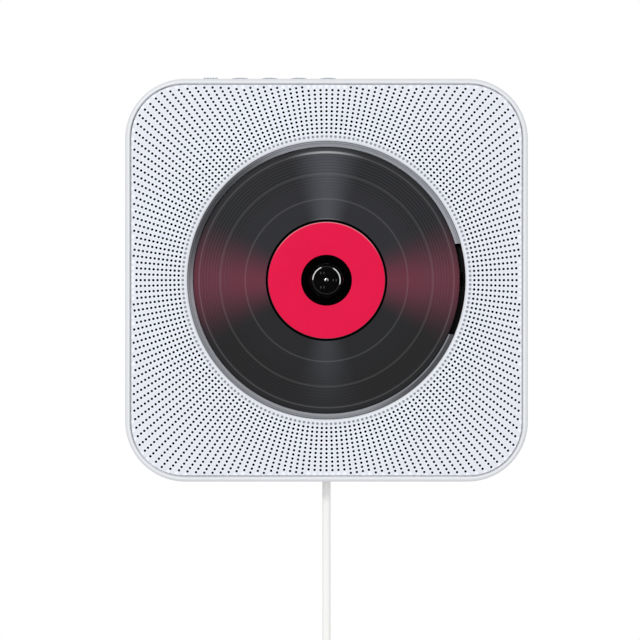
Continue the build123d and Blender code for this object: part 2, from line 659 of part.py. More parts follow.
# ---- the traverse deck ----------------------------------------------------------------------------------
with BuildPart() as deck_plate:
    with BuildSketch(depth_plane(DECK_UNDER_D)):
        with Locations(((DECK_RIGHT - DECK_LEFT) / 2, (DECK_HIGH - DECK_LOW) / 2)):
            RectangleRounded(DECK_RIGHT + DECK_LEFT, DECK_HIGH + DECK_LOW, DECK_CORNER)
        with Locations(*DAMPER_SPOTS):
            Circle(DAMPER_NECK_R, mode=Mode.SUBTRACT)
    extrude(amount=DECK_T)
    raised_left = -OPEN_LEFT + DECK_EDGE_GAP
    raised_right = OPEN_RIGHT - DECK_EDGE_GAP
    raised_h = OPEN_HIGH + OPEN_LOW - 2 * DECK_EDGE_GAP
    raised_z = (OPEN_HIGH - OPEN_LOW) / 2
    with BuildSketch(depth_plane(DECK_STEP_D)):
        with Locations(((raised_left + raised_right) / 2, raised_z)):
            Rectangle(raised_right - raised_left, raised_h)
    extrude(amount=DECK_TOP_D - DECK_STEP_D)
    with BuildSketch(depth_plane(DECK_TOP_D)):
        with Locations((raised_right - DECK_WALL_T / 2, raised_z)):
            Rectangle(DECK_WALL_T, raised_h)
    extrude(amount=BAFFLE_BACK_D - DECK_CLEAR - DECK_TOP_D)
    with BuildSketch(depth_plane(ROD_D - ROD_POST_BELOW)):
        with Locations(*[(x, z) for x in ROD_POST_XS for z in (ROD_MAIN_Z, ROD_SIDE_Z)]):
            Rectangle(ROD_POST_L, ROD_POST_W)
    extrude(amount=DECK_UNDER_D - ROD_D + ROD_POST_BELOW)
    with BuildSketch(Plane.YZ.offset(ROD_LEFT)):
        with Locations((-ROD_D, ROD_MAIN_Z), (-ROD_D, ROD_SIDE_Z)):
            Circle(ROD_R)
    extrude(amount=ROD_L, mode=Mode.SUBTRACT)
    with BuildSketch(depth_plane(DECK_UNDER_D)):
        Circle(HUB_HOLE_R)
        with Locations(((LENS_SLOT_LEFT + LENS_SLOT_RIGHT) / 2, 0)):
            Rectangle(LENS_SLOT_RIGHT - LENS_SLOT_LEFT, 2 * LENS_SLOT_HALF)
    extrude(amount=DECK_TOP_D - DECK_UNDER_D, mode=Mode.SUBTRACT)
write(deck_plate, "deck_plate")

with BuildPart() as deck_dampers:
    with BuildSketch(depth_plane(DAMPER_BACK_D)):
        with Locations(*DAMPER_SPOTS):
            Circle(DAMPER_R)
    extrude(amount=DAMPER_TAIL)
    with BuildSketch(depth_plane(DECK_UNDER_D)):
        with Locations(*DAMPER_SPOTS):
            Circle(DAMPER_NECK_R)
    extrude(amount=DECK_T)
    with BuildSketch(depth_plane(DECK_STEP_D)):
        with Locations(*DAMPER_SPOTS):
            Circle(DAMPER_R)
    extrude(amount=DECK_CLEAR)
    with BuildSketch(depth_plane(DAMPER_BACK_D)):
        with Locations(*DAMPER_SPOTS):
            Circle(DAMPER_POST_R + PIECE_GAP)
    extrude(amount=TRAY_UNDER_D - DAMPER_BACK_D, mode=Mode.SUBTRACT)
write(deck_dampers, "deck_dampers")

with BuildPart() as damper_screws:
    with BuildSketch(depth_plane(DAMPER_BACK_D - SMALL_HEAD_T)):
        with Locations(*DAMPER_SPOTS):
            Circle(DAMPER_R - DAMPER_TAIL / 2)
    extrude(amount=SMALL_HEAD_T)
    with BuildSketch(depth_plane(DAMPER_BACK_D)):
        with Locations(*DAMPER_SPOTS):
            Circle(SMALL_SCREW_R)
    extrude(amount=SMALL_GRIP - PIECE_GAP)
write(damper_screws, "damper_screws")

with BuildPart() as guide_rods:
    with BuildSketch(Plane.YZ.offset(ROD_LEFT)):
        with Locations((-ROD_D, ROD_MAIN_Z), (-ROD_D, ROD_SIDE_Z)):
            Circle(ROD_R)
    extrude(amount=ROD_L)
write(guide_rods, "guide_rods")

# ---- spindle motor, shaft, platter, hub and chucking balls ------------------------------------------------
with BuildPart() as spindle_motor:
    with BuildSketch():
        draw_section(
            (0, SPINDLE_MOTOR_D),
            (SPINDLE_MOTOR_R, SPINDLE_MOTOR_D),
            (SPINDLE_MOTOR_R, DECK_UNDER_D),
            (MOTOR_BOSS_R, DECK_UNDER_D),
            (MOTOR_BOSS_R, DECK_UNDER_D + MOTOR_BOSS_H),
            (SHAFT_R + SHAFT_FIT, DECK_UNDER_D + MOTOR_BOSS_H),
            (SHAFT_R + SHAFT_FIT, SPINDLE_MOTOR_D + MOTOR_BOSS_H),
            (0, SPINDLE_MOTOR_D + MOTOR_BOSS_H),
        )
    revolve(axis=Axis.Y)
    motor_back = spindle_motor.edges().filter_by(GeomType.CIRCLE).group_by(Axis.Y)[-1]
    fillet(motor_back, 1.2)
write(spindle_motor, "spindle_motor")

with BuildPart() as spindle_shaft:
    with BuildSketch(depth_plane(SPINDLE_MOTOR_D + MOTOR_BOSS_H + PIECE_GAP)):
        Circle(SHAFT_R)
    extrude(amount=SHAFT_TIP_D - SPINDLE_MOTOR_D - MOTOR_BOSS_H - PIECE_GAP)
    fillet(spindle_shaft.faces().sort_by(Axis.Y)[0].edges(), SHAFT_PROUD)
write(spindle_shaft, "spindle_shaft")

with BuildPart() as turntable:
    with BuildSketch():
        draw_section(
            (SHAFT_R, DECK_UNDER_D + MOTOR_BOSS_H + DECK_EDGE_GAP),
            (PLATTER_BOSS_R, DECK_UNDER_D + MOTOR_BOSS_H + DECK_EDGE_GAP),
            (PLATTER_BOSS_R, PLATTER_TOP_D - PLATTER_T),
            (PLATTER_R, PLATTER_TOP_D - PLATTER_T),
            (PLATTER_R, PLATTER_TOP_D),
            (SHAFT_R, PLATTER_TOP_D),
        )
    revolve(axis=Axis.Y)
write(turntable, "turntable")

with BuildPart() as centring_hub:
    with BuildSketch(depth_plane(PLATTER_TOP_D)):
        Circle(HUB_R)
    extrude(amount=HUB_TOP_D - PLATTER_TOP_D)
    fillet(centring_hub.faces().sort_by(Axis.Y)[0].edges(), HUB_ROUND)
    with BuildSketch(depth_plane(PLATTER_TOP_D)):
        Circle(SHAFT_R)
    extrude(amount=HUB_TOP_D - PLATTER_TOP_D, mode=Mode.SUBTRACT)
    for place in range(BALL_COUNT):
        turn = 360 / BALL_COUNT * place
        outward = Vector(cos(radians(turn)), 0, sin(radians(turn)))
        inner_end = outward * (BALL_AT - BALL_TRAVEL - BALL_R - BALL_FIT) + Vector(0, -BALL_D, 0)
        with BuildSketch(Plane(origin=inner_end, z_dir=outward)):
            Circle(BALL_R + BALL_FIT)
        extrude(amount=HUB_R, mode=Mode.SUBTRACT)
write(centring_hub, "centring_hub")

for place in range(BALL_COUNT):
    turn = radians(360 / BALL_COUNT * place)
    with BuildPart() as chucking_ball:
        with Locations((BALL_AT * cos(turn), -BALL_D, BALL_AT * sin(turn))):
            Sphere(BALL_R)
    write(chucking_ball, f"chucking_ball_{place + 1}")

# ---- the disc and its label -----------------------------------------------------------------------------
moat_in = LABEL_OUT_R + MOAT_GAP
moat_out = moat_in + MOAT_W
with BuildPart() as disc:
    with BuildSketch():
        draw_section(
            (DISC_HOLE_R, DISC_BACK_D),
            (DISC_R - DISC_EDGE, DISC_BACK_D),
            (DISC_R, DISC_BACK_D + DISC_EDGE),
            (DISC_R, DISC_FRONT_D - DISC_EDGE),
            (DISC_R - DISC_EDGE, DISC_FRONT_D),
            (moat_out, DISC_FRONT_D),
            (moat_out, DISC_FRONT_D - MOAT_DEEP),
            (moat_in, DISC_FRONT_D - MOAT_DEEP),
            (moat_in, DISC_FRONT_D),
            (DISC_HOLE_R, DISC_FRONT_D),
        )
    revolve(axis=Axis.Y)
write(disc, "disc")

with BuildPart() as disc_label:
    with BuildSketch(depth_plane(DISC_FRONT_D)):
        Circle(LABEL_OUT_R)
        Circle(LABEL_IN_R, mode=Mode.SUBTRACT)
    extrude(amount=LABEL_T)
write(disc_label, "disc_label")

# ---- the pickup sled with its bush, fork, rack, diode and lens ---------------------------------------------
sled_left = LENS_IN - SLED_INNER
sled_right = LENS_IN + SLED_OUTER
sled_mid = (sled_left + sled_right) / 2
sled_w = sled_right - sled_left
bush_top = ROD_MAIN_Z + BUSH_R
with BuildPart() as pickup_sled:
    with BuildSketch(depth_plane(SLED_BACK_D)):
        with Locations((sled_mid, (SLED_HIGH - SLED_LOW) / 2)):
            Rectangle(sled_w, SLED_HIGH + SLED_LOW)
    extrude(amount=SLED_T)
    with BuildSketch(Plane.YZ.offset(sled_left)):
        with Locations((-ROD_D, ROD_MAIN_Z)):
            Circle(BUSH_R)
        with Locations((-ROD_D, (bush_top + SLED_HIGH) / 2)):
            Rectangle(2 * BUSH_R, bush_top - SLED_HIGH)
    extrude(amount=sled_w)
    fork_h = 2 * (ROD_R + FORK_GAP)
    with BuildSketch(Plane.YZ.offset(sled_left)):
        with Locations((-ROD_D, ROD_MAIN_Z)):
            Circle(ROD_R + ROD_FIT)
        with Locations((-ROD_D, (ROD_SIDE_Z + fork_h / 2 - SLED_LOW) / 2)):
            Rectangle(fork_h, SLED_LOW + ROD_SIDE_Z + fork_h / 2)
    extrude(amount=sled_w, mode=Mode.SUBTRACT)
    with BuildSketch(depth_plane(SLED_BACK_D)):
        with Locations((sled_mid, (SLED_HIGH + ROD_SIDE_Z) / 2)):
            Rectangle(sled_w - 2 * SLED_RIM, SLED_HIGH - ROD_SIDE_Z - 2 * SLED_POCKET_IN)
    extrude(amount=SLED_POCKET, mode=Mode.SUBTRACT)
    with BuildSketch(depth_plane(SLED_TOP_D)):
        with Locations((LENS_IN, 0)):
            Circle(HOLDER_R + HOLDER_GAP)
    extrude(amount=-(HOLDER_DROP + FOCUS_TRAVEL + HOLDER_GAP), mode=Mode.SUBTRACT)
write(pickup_sled, "pickup_sled")

rack_pitch = pi * RACK_MODULE
rack_left = RACK_X - LENS_TRAVEL - RACK_SPARE
rack_right = RACK_X + RACK_SPARE
rack_root_z = RACK_PITCH_Z - DEDENDUM * RACK_MODULE
rack_tip_z = RACK_PITCH_Z + ADDENDUM * RACK_MODULE
foot_half = rack_pitch / 4 - BACKLASH / 4 + tan(radians(PRESSURE)) * DEDENDUM * RACK_MODULE
tip_half = rack_pitch / 4 - BACKLASH / 4 - tan(radians(PRESSURE)) * ADDENDUM * RACK_MODULE
rack_teeth = int((rack_right - rack_left) / rack_pitch)
first_tooth_x = RACK_X - (int(LENS_TRAVEL / rack_pitch) + 1.5) * rack_pitch
rack_corners = [(rack_right, rack_root_z), (rack_right, bush_top), (rack_left, bush_top)]
rack_corners.append((rack_left, rack_root_z))
for place in range(rack_teeth):
    tooth_x = first_tooth_x + place * rack_pitch
    rack_corners.append((tooth_x - foot_half, rack_root_z))
    rack_corners.append((tooth_x - tip_half, rack_tip_z))
    rack_corners.append((tooth_x + tip_half, rack_tip_z))
    rack_corners.append((tooth_x + foot_half, rack_root_z))
with BuildPart() as sled_rack:
    with BuildSketch(depth_plane(RACK_MID_D - RACK_W / 2)):
        with BuildLine():
            Polyline(*rack_corners, close=True)
        make_face()
    extrude(amount=RACK_W)
write(sled_rack, "sled_rack")

with BuildPart() as laser_diode:
    with BuildSketch(Plane.YZ.offset(sled_right)):
        with Locations((-(SLED_BACK_D + SLED_TOP_D) / 2, 0)):
            Circle(DIODE_R)
    extrude(amount=DIODE_L / 2)
write(laser_diode, "laser_diode")

with BuildPart() as lens_holder:
    with BuildSketch(depth_plane(SLED_TOP_D - HOLDER_DROP)):
        with Locations((LENS_IN, 0)):
            Circle(HOLDER_R)
    extrude(amount=DECK_TOP_D - SLED_TOP_D + HOLDER_DROP)
    with BuildSketch(depth_plane(DECK_TOP_D)):
        with Locations((LENS_IN, 0)):
            Circle(LENS_R)
    extrude(amount=-LENS_R / 2, mode=Mode.SUBTRACT)
write(lens_holder, "lens_holder")

with BuildPart() as objective_lens:
    with BuildSketch(depth_plane(DECK_TOP_D - LENS_R / 2)):
        with Locations((LENS_IN, 0)):
            Circle(LENS_R)
    extrude(amount=LENS_R / 2 + LENS_PROUD)
    fillet(objective_lens.faces().sort_by(Axis.Y)[0].edges(), LENS_PROUD)
write(objective_lens, "objective_lens")

# ---- the compound drive gear, its headed pin, the sled motor and its pinion ----------------------------
with BuildPart() as drive_gear:
    with BuildSketch(depth_plane(WHEEL_BACK_D)):
        draw_gear(WHEEL_TEETH, FINE_MODULE, PINION_ANGLE, (RACK_X, GEAR_Z))
    extrude(amount=WHEEL_W)
    with BuildSketch(depth_plane(WHEEL_TOP_D)):
        with Locations((RACK_X, GEAR_Z)):
            Circle(GEAR_HUB_R)
    extrude(amount=RACK_MID_D - RACK_W / 2 - WHEEL_TOP_D)
    with BuildSketch(depth_plane(RACK_MID_D - RACK_W / 2)):
        draw_gear(RACK_GEAR_TEETH, RACK_MODULE, -90, (RACK_X, GEAR_Z))
    extrude(amount=RACK_W)
    with BuildSketch(depth_plane(WHEEL_BACK_D)):
        with Locations((RACK_X, GEAR_Z)):
            Circle(GEAR_PIN_R + GEAR_FIT)
    extrude(amount=RACK_MID_D + RACK_W / 2 - WHEEL_BACK_D, mode=Mode.SUBTRACT)
write(drive_gear, "drive_gear")

with BuildPart() as gear_pin:
    with BuildSketch(depth_plane(RACK_MID_D + RACK_W / 2 + PIECE_GAP)):
        with Locations((RACK_X, GEAR_Z)):
            Circle(PIN_HEAD_R)
    extrude(amount=DECK_UNDER_D - RACK_MID_D - RACK_W / 2 - PIECE_GAP)
    with BuildSketch(depth_plane(GEAR_PIN_END_D)):
        with Locations((RACK_X, GEAR_Z)):
            Circle(PIN_HEAD_R)
    extrude(amount=PIN_HEAD_T)
    with BuildSketch(depth_plane(GEAR_PIN_END_D)):
        with Locations((RACK_X, GEAR_Z)):
            Circle(GEAR_PIN_R)
    extrude(amount=DECK_UNDER_D - GEAR_PIN_END_D)
write(gear_pin, "gear_pin")

with BuildPart() as sled_motor:
    with BuildSketch(depth_plane(SLED_MOTOR_BACK_D)):
        with Locations((PINION_X, PINION_Z)):
            Circle(SLED_MOTOR_R)
    extrude(amount=SLED_MOTOR_H)
    fillet(sled_motor.faces().sort_by(Axis.Y)[-1].edges(), 0.8)
    with BuildSketch(depth_plane(SLED_MOTOR_BACK_D)):
        with Locations((PINION_X, PINION_Z)):
            Circle(SHAFT_R + SHAFT_FIT)
    extrude(amount=SLED_MOTOR_H / 2, mode=Mode.SUBTRACT)
write(sled_motor, "sled_motor")

pinion_turn = PINION_ANGLE + 180 + 180 / PINION_TEETH
with BuildPart() as motor_pinion:
    with BuildSketch(depth_plane(WHEEL_BACK_D)):
        draw_gear(PINION_TEETH, FINE_MODULE, pinion_turn, (PINION_X, PINION_Z))
    extrude(amount=WHEEL_W)
    with BuildSketch(depth_plane(WHEEL_TOP_D)):
        with Locations((PINION_X, PINION_Z)):
            Circle(SHAFT_R)
    extrude(amount=SLED_MOTOR_BACK_D + SLED_MOTOR_H / 2 - PIECE_GAP - WHEEL_TOP_D)
write(motor_pinion, "motor_pinion")

# ---- the boards ------------------------------------------------------------------------------------------
board_front_d = BOARD_D + BOARD_T
with BuildPart() as main_board:
    with BuildSketch(depth_plane(BOARD_D)):
        with Locations((0, BOARD_Z)):
            Rectangle(BOARD_W, BOARD_H)
            with GridLocations(BOARD_W - 2 * BOARD_INSET, BOARD_H - 2 * BOARD_INSET, 2, 2):
                Circle(SMALL_SCREW_R + PIECE_GAP, mode=Mode.SUBTRACT)
    extrude(amount=BOARD_T)
write(main_board, "main_board")

with BuildPart() as board_screws:
    with BuildSketch(depth_plane(board_front_d)):
        with Locations((0, BOARD_Z)):
            with GridLocations(BOARD_W - 2 * BOARD_INSET, BOARD_H - 2 * BOARD_INSET, 2, 2):
                Circle(SMALL_HEAD_R)
    extrude(amount=SMALL_HEAD_T)
    with BuildSketch(depth_plane(board_front_d)):
        with Locations((0, BOARD_Z)):
            with GridLocations(BOARD_W - 2 * BOARD_INSET, BOARD_H - 2 * BOARD_INSET, 2, 2):
                Circle(SMALL_SCREW_R)
    extrude(amount=-(SMALL_GRIP + BOARD_T - PIECE_GAP))
write(board_screws, "board_screws")

with BuildPart() as board_chips:
    with BuildSketch(depth_plane(board_front_d)):
        for (x, z), (chip_w, chip_h) in CHIP_SPOTS.items():
            with Locations((x, BOARD_Z + z)):
                Rectangle(chip_w, chip_h)
    extrude(amount=CHIP_H)
write(board_chips, "board_chips")

with BuildPart() as board_capacitors:
    with BuildSketch(depth_plane(board_front_d)):
        with Locations((-CAPACITOR_X, BOARD_Z + CAPACITOR_Z)):
            with GridLocations(CAPACITOR_PITCH, 0, CAPACITOR_COUNT, 1):
                Circle(CAPACITOR_R)
    extrude(amount=CAPACITOR_H)
write(board_capacitors, "board_capacitors")

# ---- speakers in the two lower corners -----------------------------------------------------------------
surround_d = BAFFLE_BACK_D - SPEAKER_RIM_T / 2
surround_out_r = SPEAKER_WINDOW_R - SURROUND_SEAT
surround_mid_r = (SURROUND_IN_R + surround_out_r) / 2
cone_foot_d = surround_d - CONE_H

with BuildPart() as speaker_baskets:
    for speaker_x, speaker_z in SPEAKER_SPOTS.values():
        with BuildSketch(Plane((speaker_x, 0, speaker_z))):
            draw_section(
                (SPEAKER_WINDOW_R, BAFFLE_BACK_D),
                (SPEAKER_R, BAFFLE_BACK_D),
                (SPEAKER_R, SPEAKER_RIM_D),
                (SPEAKER_WINDOW_R + BASKET_T, SPEAKER_RIM_D),
                (BASKET_FOOT_R + BASKET_T, BASKET_BACK_D),
                (0, BASKET_BACK_D),
                (0, BASKET_BACK_D + BASKET_T),
                (BASKET_FOOT_R, BASKET_BACK_D + BASKET_T),
                (SPEAKER_WINDOW_R, SPEAKER_RIM_D),
            )
        revolve(axis=Axis((speaker_x, 0, speaker_z), (0, 1, 0)))
write(speaker_baskets, "speaker_baskets")

with BuildPart() as speaker_magnets:
    with BuildSketch(depth_plane(BASKET_BACK_D - MAGNET_T)):
        with Locations(*SPEAKER_SPOTS.values()):
            Circle(MAGNET_R)
    extrude(amount=MAGNET_T)
write(speaker_magnets, "speaker_magnets")

with BuildPart() as speaker_surrounds:
    for speaker_x, speaker_z in SPEAKER_SPOTS.values():
        with BuildSketch(Plane((speaker_x, 0, speaker_z))):
            with BuildLine():
                inner_front = (SURROUND_IN_R, -surround_d)
                outer_front = (surround_out_r, -surround_d)
                inner_back = (SURROUND_IN_R, -surround_d + CONE_T)
                outer_back = (surround_out_r, -surround_d + CONE_T)
                crest = -surround_d - (surround_out_r - SURROUND_IN_R) / 2
                ThreePointArc(inner_front, (surround_mid_r, crest), outer_front)
                Line(outer_front, outer_back)
                ThreePointArc(outer_back, (surround_mid_r, crest + CONE_T), inner_back)
                Line(inner_back, inner_front)
            make_face()
        revolve(axis=Axis((speaker_x, 0, speaker_z), (0, 1, 0)))
write(speaker_surrounds, "speaker_surrounds")

for side, (speaker_x, speaker_z) in SPEAKER_SPOTS.items():
    with BuildPart() as speaker_cone:
        with BuildSketch(Plane((speaker_x, 0, speaker_z))):
            draw_section(
                (0, cone_foot_d + COIL_R / 2),
                (COIL_R * 0.7, cone_foot_d + COIL_R / 3),
                (COIL_R, cone_foot_d + CONE_T),
                (CONE_R - CONE_T, surround_d),
                (CONE_R, surround_d),
                (CONE_R, surround_d - CONE_T),
                (COIL_R + CONE_T, cone_foot_d),
                (COIL_R + CONE_T, cone_foot_d - COIL_R / 3),
                (COIL_R, cone_foot_d - COIL_R / 3),
                (COIL_R, cone_foot_d),
                (0, cone_foot_d + COIL_R / 2 - CONE_T),
            )
        revolve(axis=Axis((speaker_x, 0, speaker_z), (0, 1, 0)))
    write(speaker_cone, f"speaker_cone_{side}")

# ---- key board, switches, buttons and the slide knob along the top ---------------------------------------
key_board_mid = (KEY_BOARD_LEFT + KEY_BOARD_RIGHT) / 2
with BuildPart() as key_board:
    with BuildSketch(Plane.XY.offset(KEY_BOARD_Z - BOARD_T)):
        with Locations((key_board_mid, -KEY_ROW_D)):
            Rectangle(KEY_BOARD_RIGHT - KEY_BOARD_LEFT, KEY_BOARD_W)
        with Locations(*KEY_POST_SPOTS):
            Circle(SMALL_SCREW_R + PIECE_GAP, mode=Mode.SUBTRACT)
    extrude(amount=BOARD_T)
write(key_board, "key_board")

with BuildPart() as key_board_screws:
    with BuildSketch(Plane.XY.offset(KEY_BOARD_Z - BOARD_T)):
        with Locations(*KEY_POST_SPOTS):
            Circle(SMALL_HEAD_R)
    extrude(amount=-SMALL_HEAD_T)
    with BuildSketch(Plane.XY.offset(KEY_BOARD_Z - BOARD_T)):
        with Locations(*KEY_POST_SPOTS):
            Circle(SMALL_SCREW_R)
    extrude(amount=BOARD_T + SMALL_GRIP - PIECE_GAP)
write(key_board_screws, "key_board_screws")

with BuildPart() as tact_switches:
    with BuildSketch(Plane.XY.offset(KEY_BOARD_Z)):
        with Locations(*[(x, -KEY_ROW_D) for x in KEY_XS]):
            Rectangle(TACT_SIDE, TACT_SIDE)
    extrude(amount=TACT_H)
    with BuildSketch(Plane.XY.offset(KEY_BOARD_Z + TACT_H)):
        with Locations(*[(x, -KEY_ROW_D) for x in KEY_XS]):
            Circle(TACT_STEM_R)
    extrude(amount=TACT_STEM_H)
write(tact_switches, "tact_switches")

for name, x in zip(KEY_NAMES, KEY_XS):
    shoulder_z = CASE_HALF + KEY_SHOULDER
    with BuildPart() as key_cap:
        with BuildSketch(depth_plane(KEY_ROW_D - KEY_DEEP / 2)):
            with BuildLine():
                Polyline(
                    (x - KEY_W / 2, shoulder_z),
                    (x - KEY_W / 2, KEY_FLANGE_Z),
                    (x + KEY_W / 2, KEY_FLANGE_Z),
                    (x + KEY_W / 2, shoulder_z),
                )
                ThreePointArc(
                    (x + KEY_W / 2, shoulder_z),
                    (x, CASE_HALF + KEY_PROUD),
                    (x - KEY_W / 2, shoulder_z),
                )
            make_face()
        extrude(amount=KEY_DEEP)
        with BuildSketch(Plane.XY.offset(KEY_FLANGE_Z)):
            with Locations((x, -KEY_ROW_D)):
                Rectangle(KEY_W + 2 * KEY_LIP, KEY_DEEP + 2 * KEY_LIP)
        extrude(amount=KEY_FLANGE_T)
        stem_end_z = TACT_TOP_Z + KEY_TRAVEL + PIECE_GAP
        with BuildSketch(Plane.XY.offset(stem_end_z)):
            with Locations((x, -KEY_ROW_D)):
                Circle(KEY_STEM_R)
        extrude(amount=KEY_FLANGE_Z - stem_end_z)
    write(key_cap, name)

with BuildPart() as slide_switch:
    with BuildSketch(Plane.XY.offset(KEY_BOARD_Z)):
        with Locations((KNOB_X, -KEY_ROW_D)):
            Rectangle(SLIDE_SWITCH_W, SLIDE_SWITCH_DEEP)
    extrude(amount=SLIDE_SWITCH_H)
    with BuildSketch(Plane.XY.offset(KEY_BOARD_Z + SLIDE_SWITCH_H)):
        with Locations((KNOB_X, -KEY_ROW_D)):
            Rectangle(KNOB_NECK_DEEP + 2 * (KNOB_TRAVEL + KEY_GAP), KNOB_NECK_DEEP / 2 + 2 * KEY_GAP)
    extrude(amount=-SLIDE_SWITCH_H / 2, mode=Mode.SUBTRACT)
write(slide_switch, "slide_switch")

knob_under_z = CASE_HALF + KEY_SHOULDER
knob_top_z = CASE_HALF + KEY_PROUD - KNOB_RIDGE_R / 2
with BuildPart() as mode_knob:
    with BuildSketch(depth_plane(KEY_ROW_D - KEY_DEEP / 2)):
        with BuildLine():
            Polyline(
                (KNOB_X - KNOB_W / 2, knob_under_z),
                (KNOB_X + KNOB_W / 2, knob_under_z),
                (KNOB_X + KNOB_TOP_W / 2, knob_top_z),
                (KNOB_X - KNOB_TOP_W / 2, knob_top_z),
                close=True,
            )
        make_face()
        with Locations((KNOB_X, knob_top_z)):
            with GridLocations(KNOB_TOP_W / KNOB_RIDGES, 0, KNOB_RIDGES, 1):
                Circle(KNOB_RIDGE_R)
    extrude(amount=KEY_DEEP)
    with BuildSketch(Plane.XY.offset(INNER_HALF - PIECE_GAP)):
        with Locations((KNOB_X, -KEY_ROW_D)):
            Rectangle(KNOB_NECK_W, KNOB_NECK_DEEP)
    extrude(amount=knob_under_z - INNER_HALF + PIECE_GAP)
    shoe_w = KNOB_NECK_W + 4 * KNOB_TRAVEL + 2 * KEY_LIP
    with BuildSketch(Plane.XY.offset(INNER_HALF - PIECE_GAP)):
        with Locations((KNOB_X, -KEY_ROW_D)):
            Rectangle(shoe_w, KEY_DEEP)
    extrude(amount=-KEY_FLANGE_T)
    lever_end_z = KEY_BOARD_Z + SLIDE_SWITCH_H / 2 + PIECE_GAP
    with BuildSketch(Plane.XY.offset(lever_end_z)):
        with Locations((KNOB_X, -KEY_ROW_D)):
            Rectangle(KNOB_NECK_DEEP, KNOB_NECK_DEEP / 2)
    extrude(amount=INNER_HALF - PIECE_GAP - KEY_FLANGE_T - lever_end_z)
write(mode_knob, "mode_knob")

# ---- pull switch: grommet, housing, spring, plunger -------------------------------------------------------
with BuildPart() as cord_grommet:
    with BuildSketch(Plane.XY.offset(-CASE_HALF)):
        with Locations((0, -CORD_DEPTH)):
            Circle(GROMMET_R)
    extrude(amount=WALL)
    with BuildSketch(Plane.XY.offset(-INNER_HALF)):
        with Locations((0, -CORD_DEPTH)):
            Circle(GROMMET_FLANGE_R)
    extrude(amount=GROMMET_FLANGE_T)
    with BuildSketch(Plane.XY.offset(-CASE_HALF)):
        with Locations((0, -CORD_DEPTH)):
            Circle(CORD_R + CORD_GAP)
    extrude(amount=WALL + GROMMET_FLANGE_T, mode=Mode.SUBTRACT)
write(cord_grommet, "cord_grommet")

with BuildPart() as pull_switch_housing:
    with BuildSketch(Plane.XY.offset(-INNER_HALF)):
        with Locations((0, -CORD_DEPTH)):
            RectangleRounded(SWITCH_W, SWITCH_DEEP, SWITCH_WALL)
    extrude(amount=SWITCH_H)
    with BuildSketch(Plane.XY.offset(-INNER_HALF)):
        with Locations((0, -CORD_DEPTH)):
            Circle(GROMMET_FLANGE_R + PIECE_GAP)
    extrude(amount=GROMMET_FLANGE_T + PIECE_GAP, mode=Mode.SUBTRACT)
    with BuildSketch(Plane.XY.offset(SWITCH_FLOOR_Z)):
        with Locations((0, -CORD_DEPTH)):
            Circle(CORD_R + CORD_GAP)
    extrude(amount=SWITCH_FLOOR_T, mode=Mode.SUBTRACT)
    with BuildSketch(Plane.XY.offset(SWITCH_INNER_Z)):
        with Locations((0, -CORD_DEPTH)):
            Circle(PLUNGER_R + PLUNGER_GAP)
    extrude(amount=PLUNGER_TOP_Z + PIECE_GAP - SWITCH_INNER_Z, mode=Mode.SUBTRACT)
write(pull_switch_housing, "pull_switch_housing")

with BuildPart() as pull_spring:
    with BuildLine():
        Helix(
            pitch=(SPRING_H - 2 * SPRING_WIRE_R) / SPRING_TURNS,
            height=SPRING_H - 2 * SPRING_WIRE_R,
            radius=SPRING_R,
            center=(0, -CORD_DEPTH, SWITCH_INNER_Z + SPRING_WIRE_R),
        )
    with BuildSketch(Plane((SPRING_R, -CORD_DEPTH, SWITCH_INNER_Z + SPRING_WIRE_R), z_dir=(0, 1, 0))):
        RegularPolygon(SPRING_WIRE_R, 6)
    sweep(is_frenet=True)
write(pull_spring, "pull_spring")

with BuildPart() as pull_plunger:
    with BuildSketch(Plane.XY.offset(SPRING_TOP_Z)):
        with Locations((0, -CORD_DEPTH)):
            Circle(PLUNGER_R)
    extrude(amount=PLUNGER_H)
    chamfer(pull_plunger.faces().sort_by(Axis.Z)[-1].edges(), PLUNGER_GAP)
write(pull_plunger, "pull_plunger")

# ---- the lead: stub inside the switch, straight stretch, hank, tie and plug ------------------------------
with BuildPart() as cord_stub:
    with BuildSketch(Plane.XY.offset(-CASE_HALF)):
        with Locations((0, -CORD_DEPTH)):
            Circle(CORD_R)
    extrude(amount=SPRING_TOP_Z + CASE_HALF)
write(cord_stub, "cord_stub")

with BuildPart() as cord:
    with BuildSketch(Plane.XY.offset(CORD_END_Z)):
        with Locations((0, -CORD_DEPTH)):
            Circle(CORD_R)
    extrude(amount=CORD_DROP)
write(cord, "cord")

# The hank's runs, in the order in which the cord passes through them: outwards in one layer, then
# inwards again in the next. The first run, the last outward one and the last one climb a layer, and
# each run is drawn in at its waist by the same amount, so that the two innermost all but meet there.
outward_runs = [x for n in range(HANK_TURNS) for x in (-n * HANK_STEP, 2 * FOLD_R + n * HANK_STEP)]
run_xs = outward_runs + outward_runs[-2::-1]
climbs = (0, len(outward_runs) - 1, len(run_xs) - 1)
waist_z = (RUN_TOP_Z + RUN_END_Z) / 2
route = []
layer_y = -CORD_DEPTH
for place, run_x in enumerate(run_xs):
    run_ends = (RUN_TOP_Z, RUN_END_Z) if place % 2 == 0 else (RUN_END_Z, RUN_TOP_Z)
    next_y = layer_y + (LAYER_STEP if place in climbs else 0)
    waist_x = run_x + (WAIST_IN if run_x < FOLD_R else -WAIST_IN)
    waist = (waist_x, (layer_y + next_y) / 2, waist_z)
    route.append(((run_x, layer_y, run_ends[0]), waist, (run_x, next_y, run_ends[1])))
    layer_y = next_y

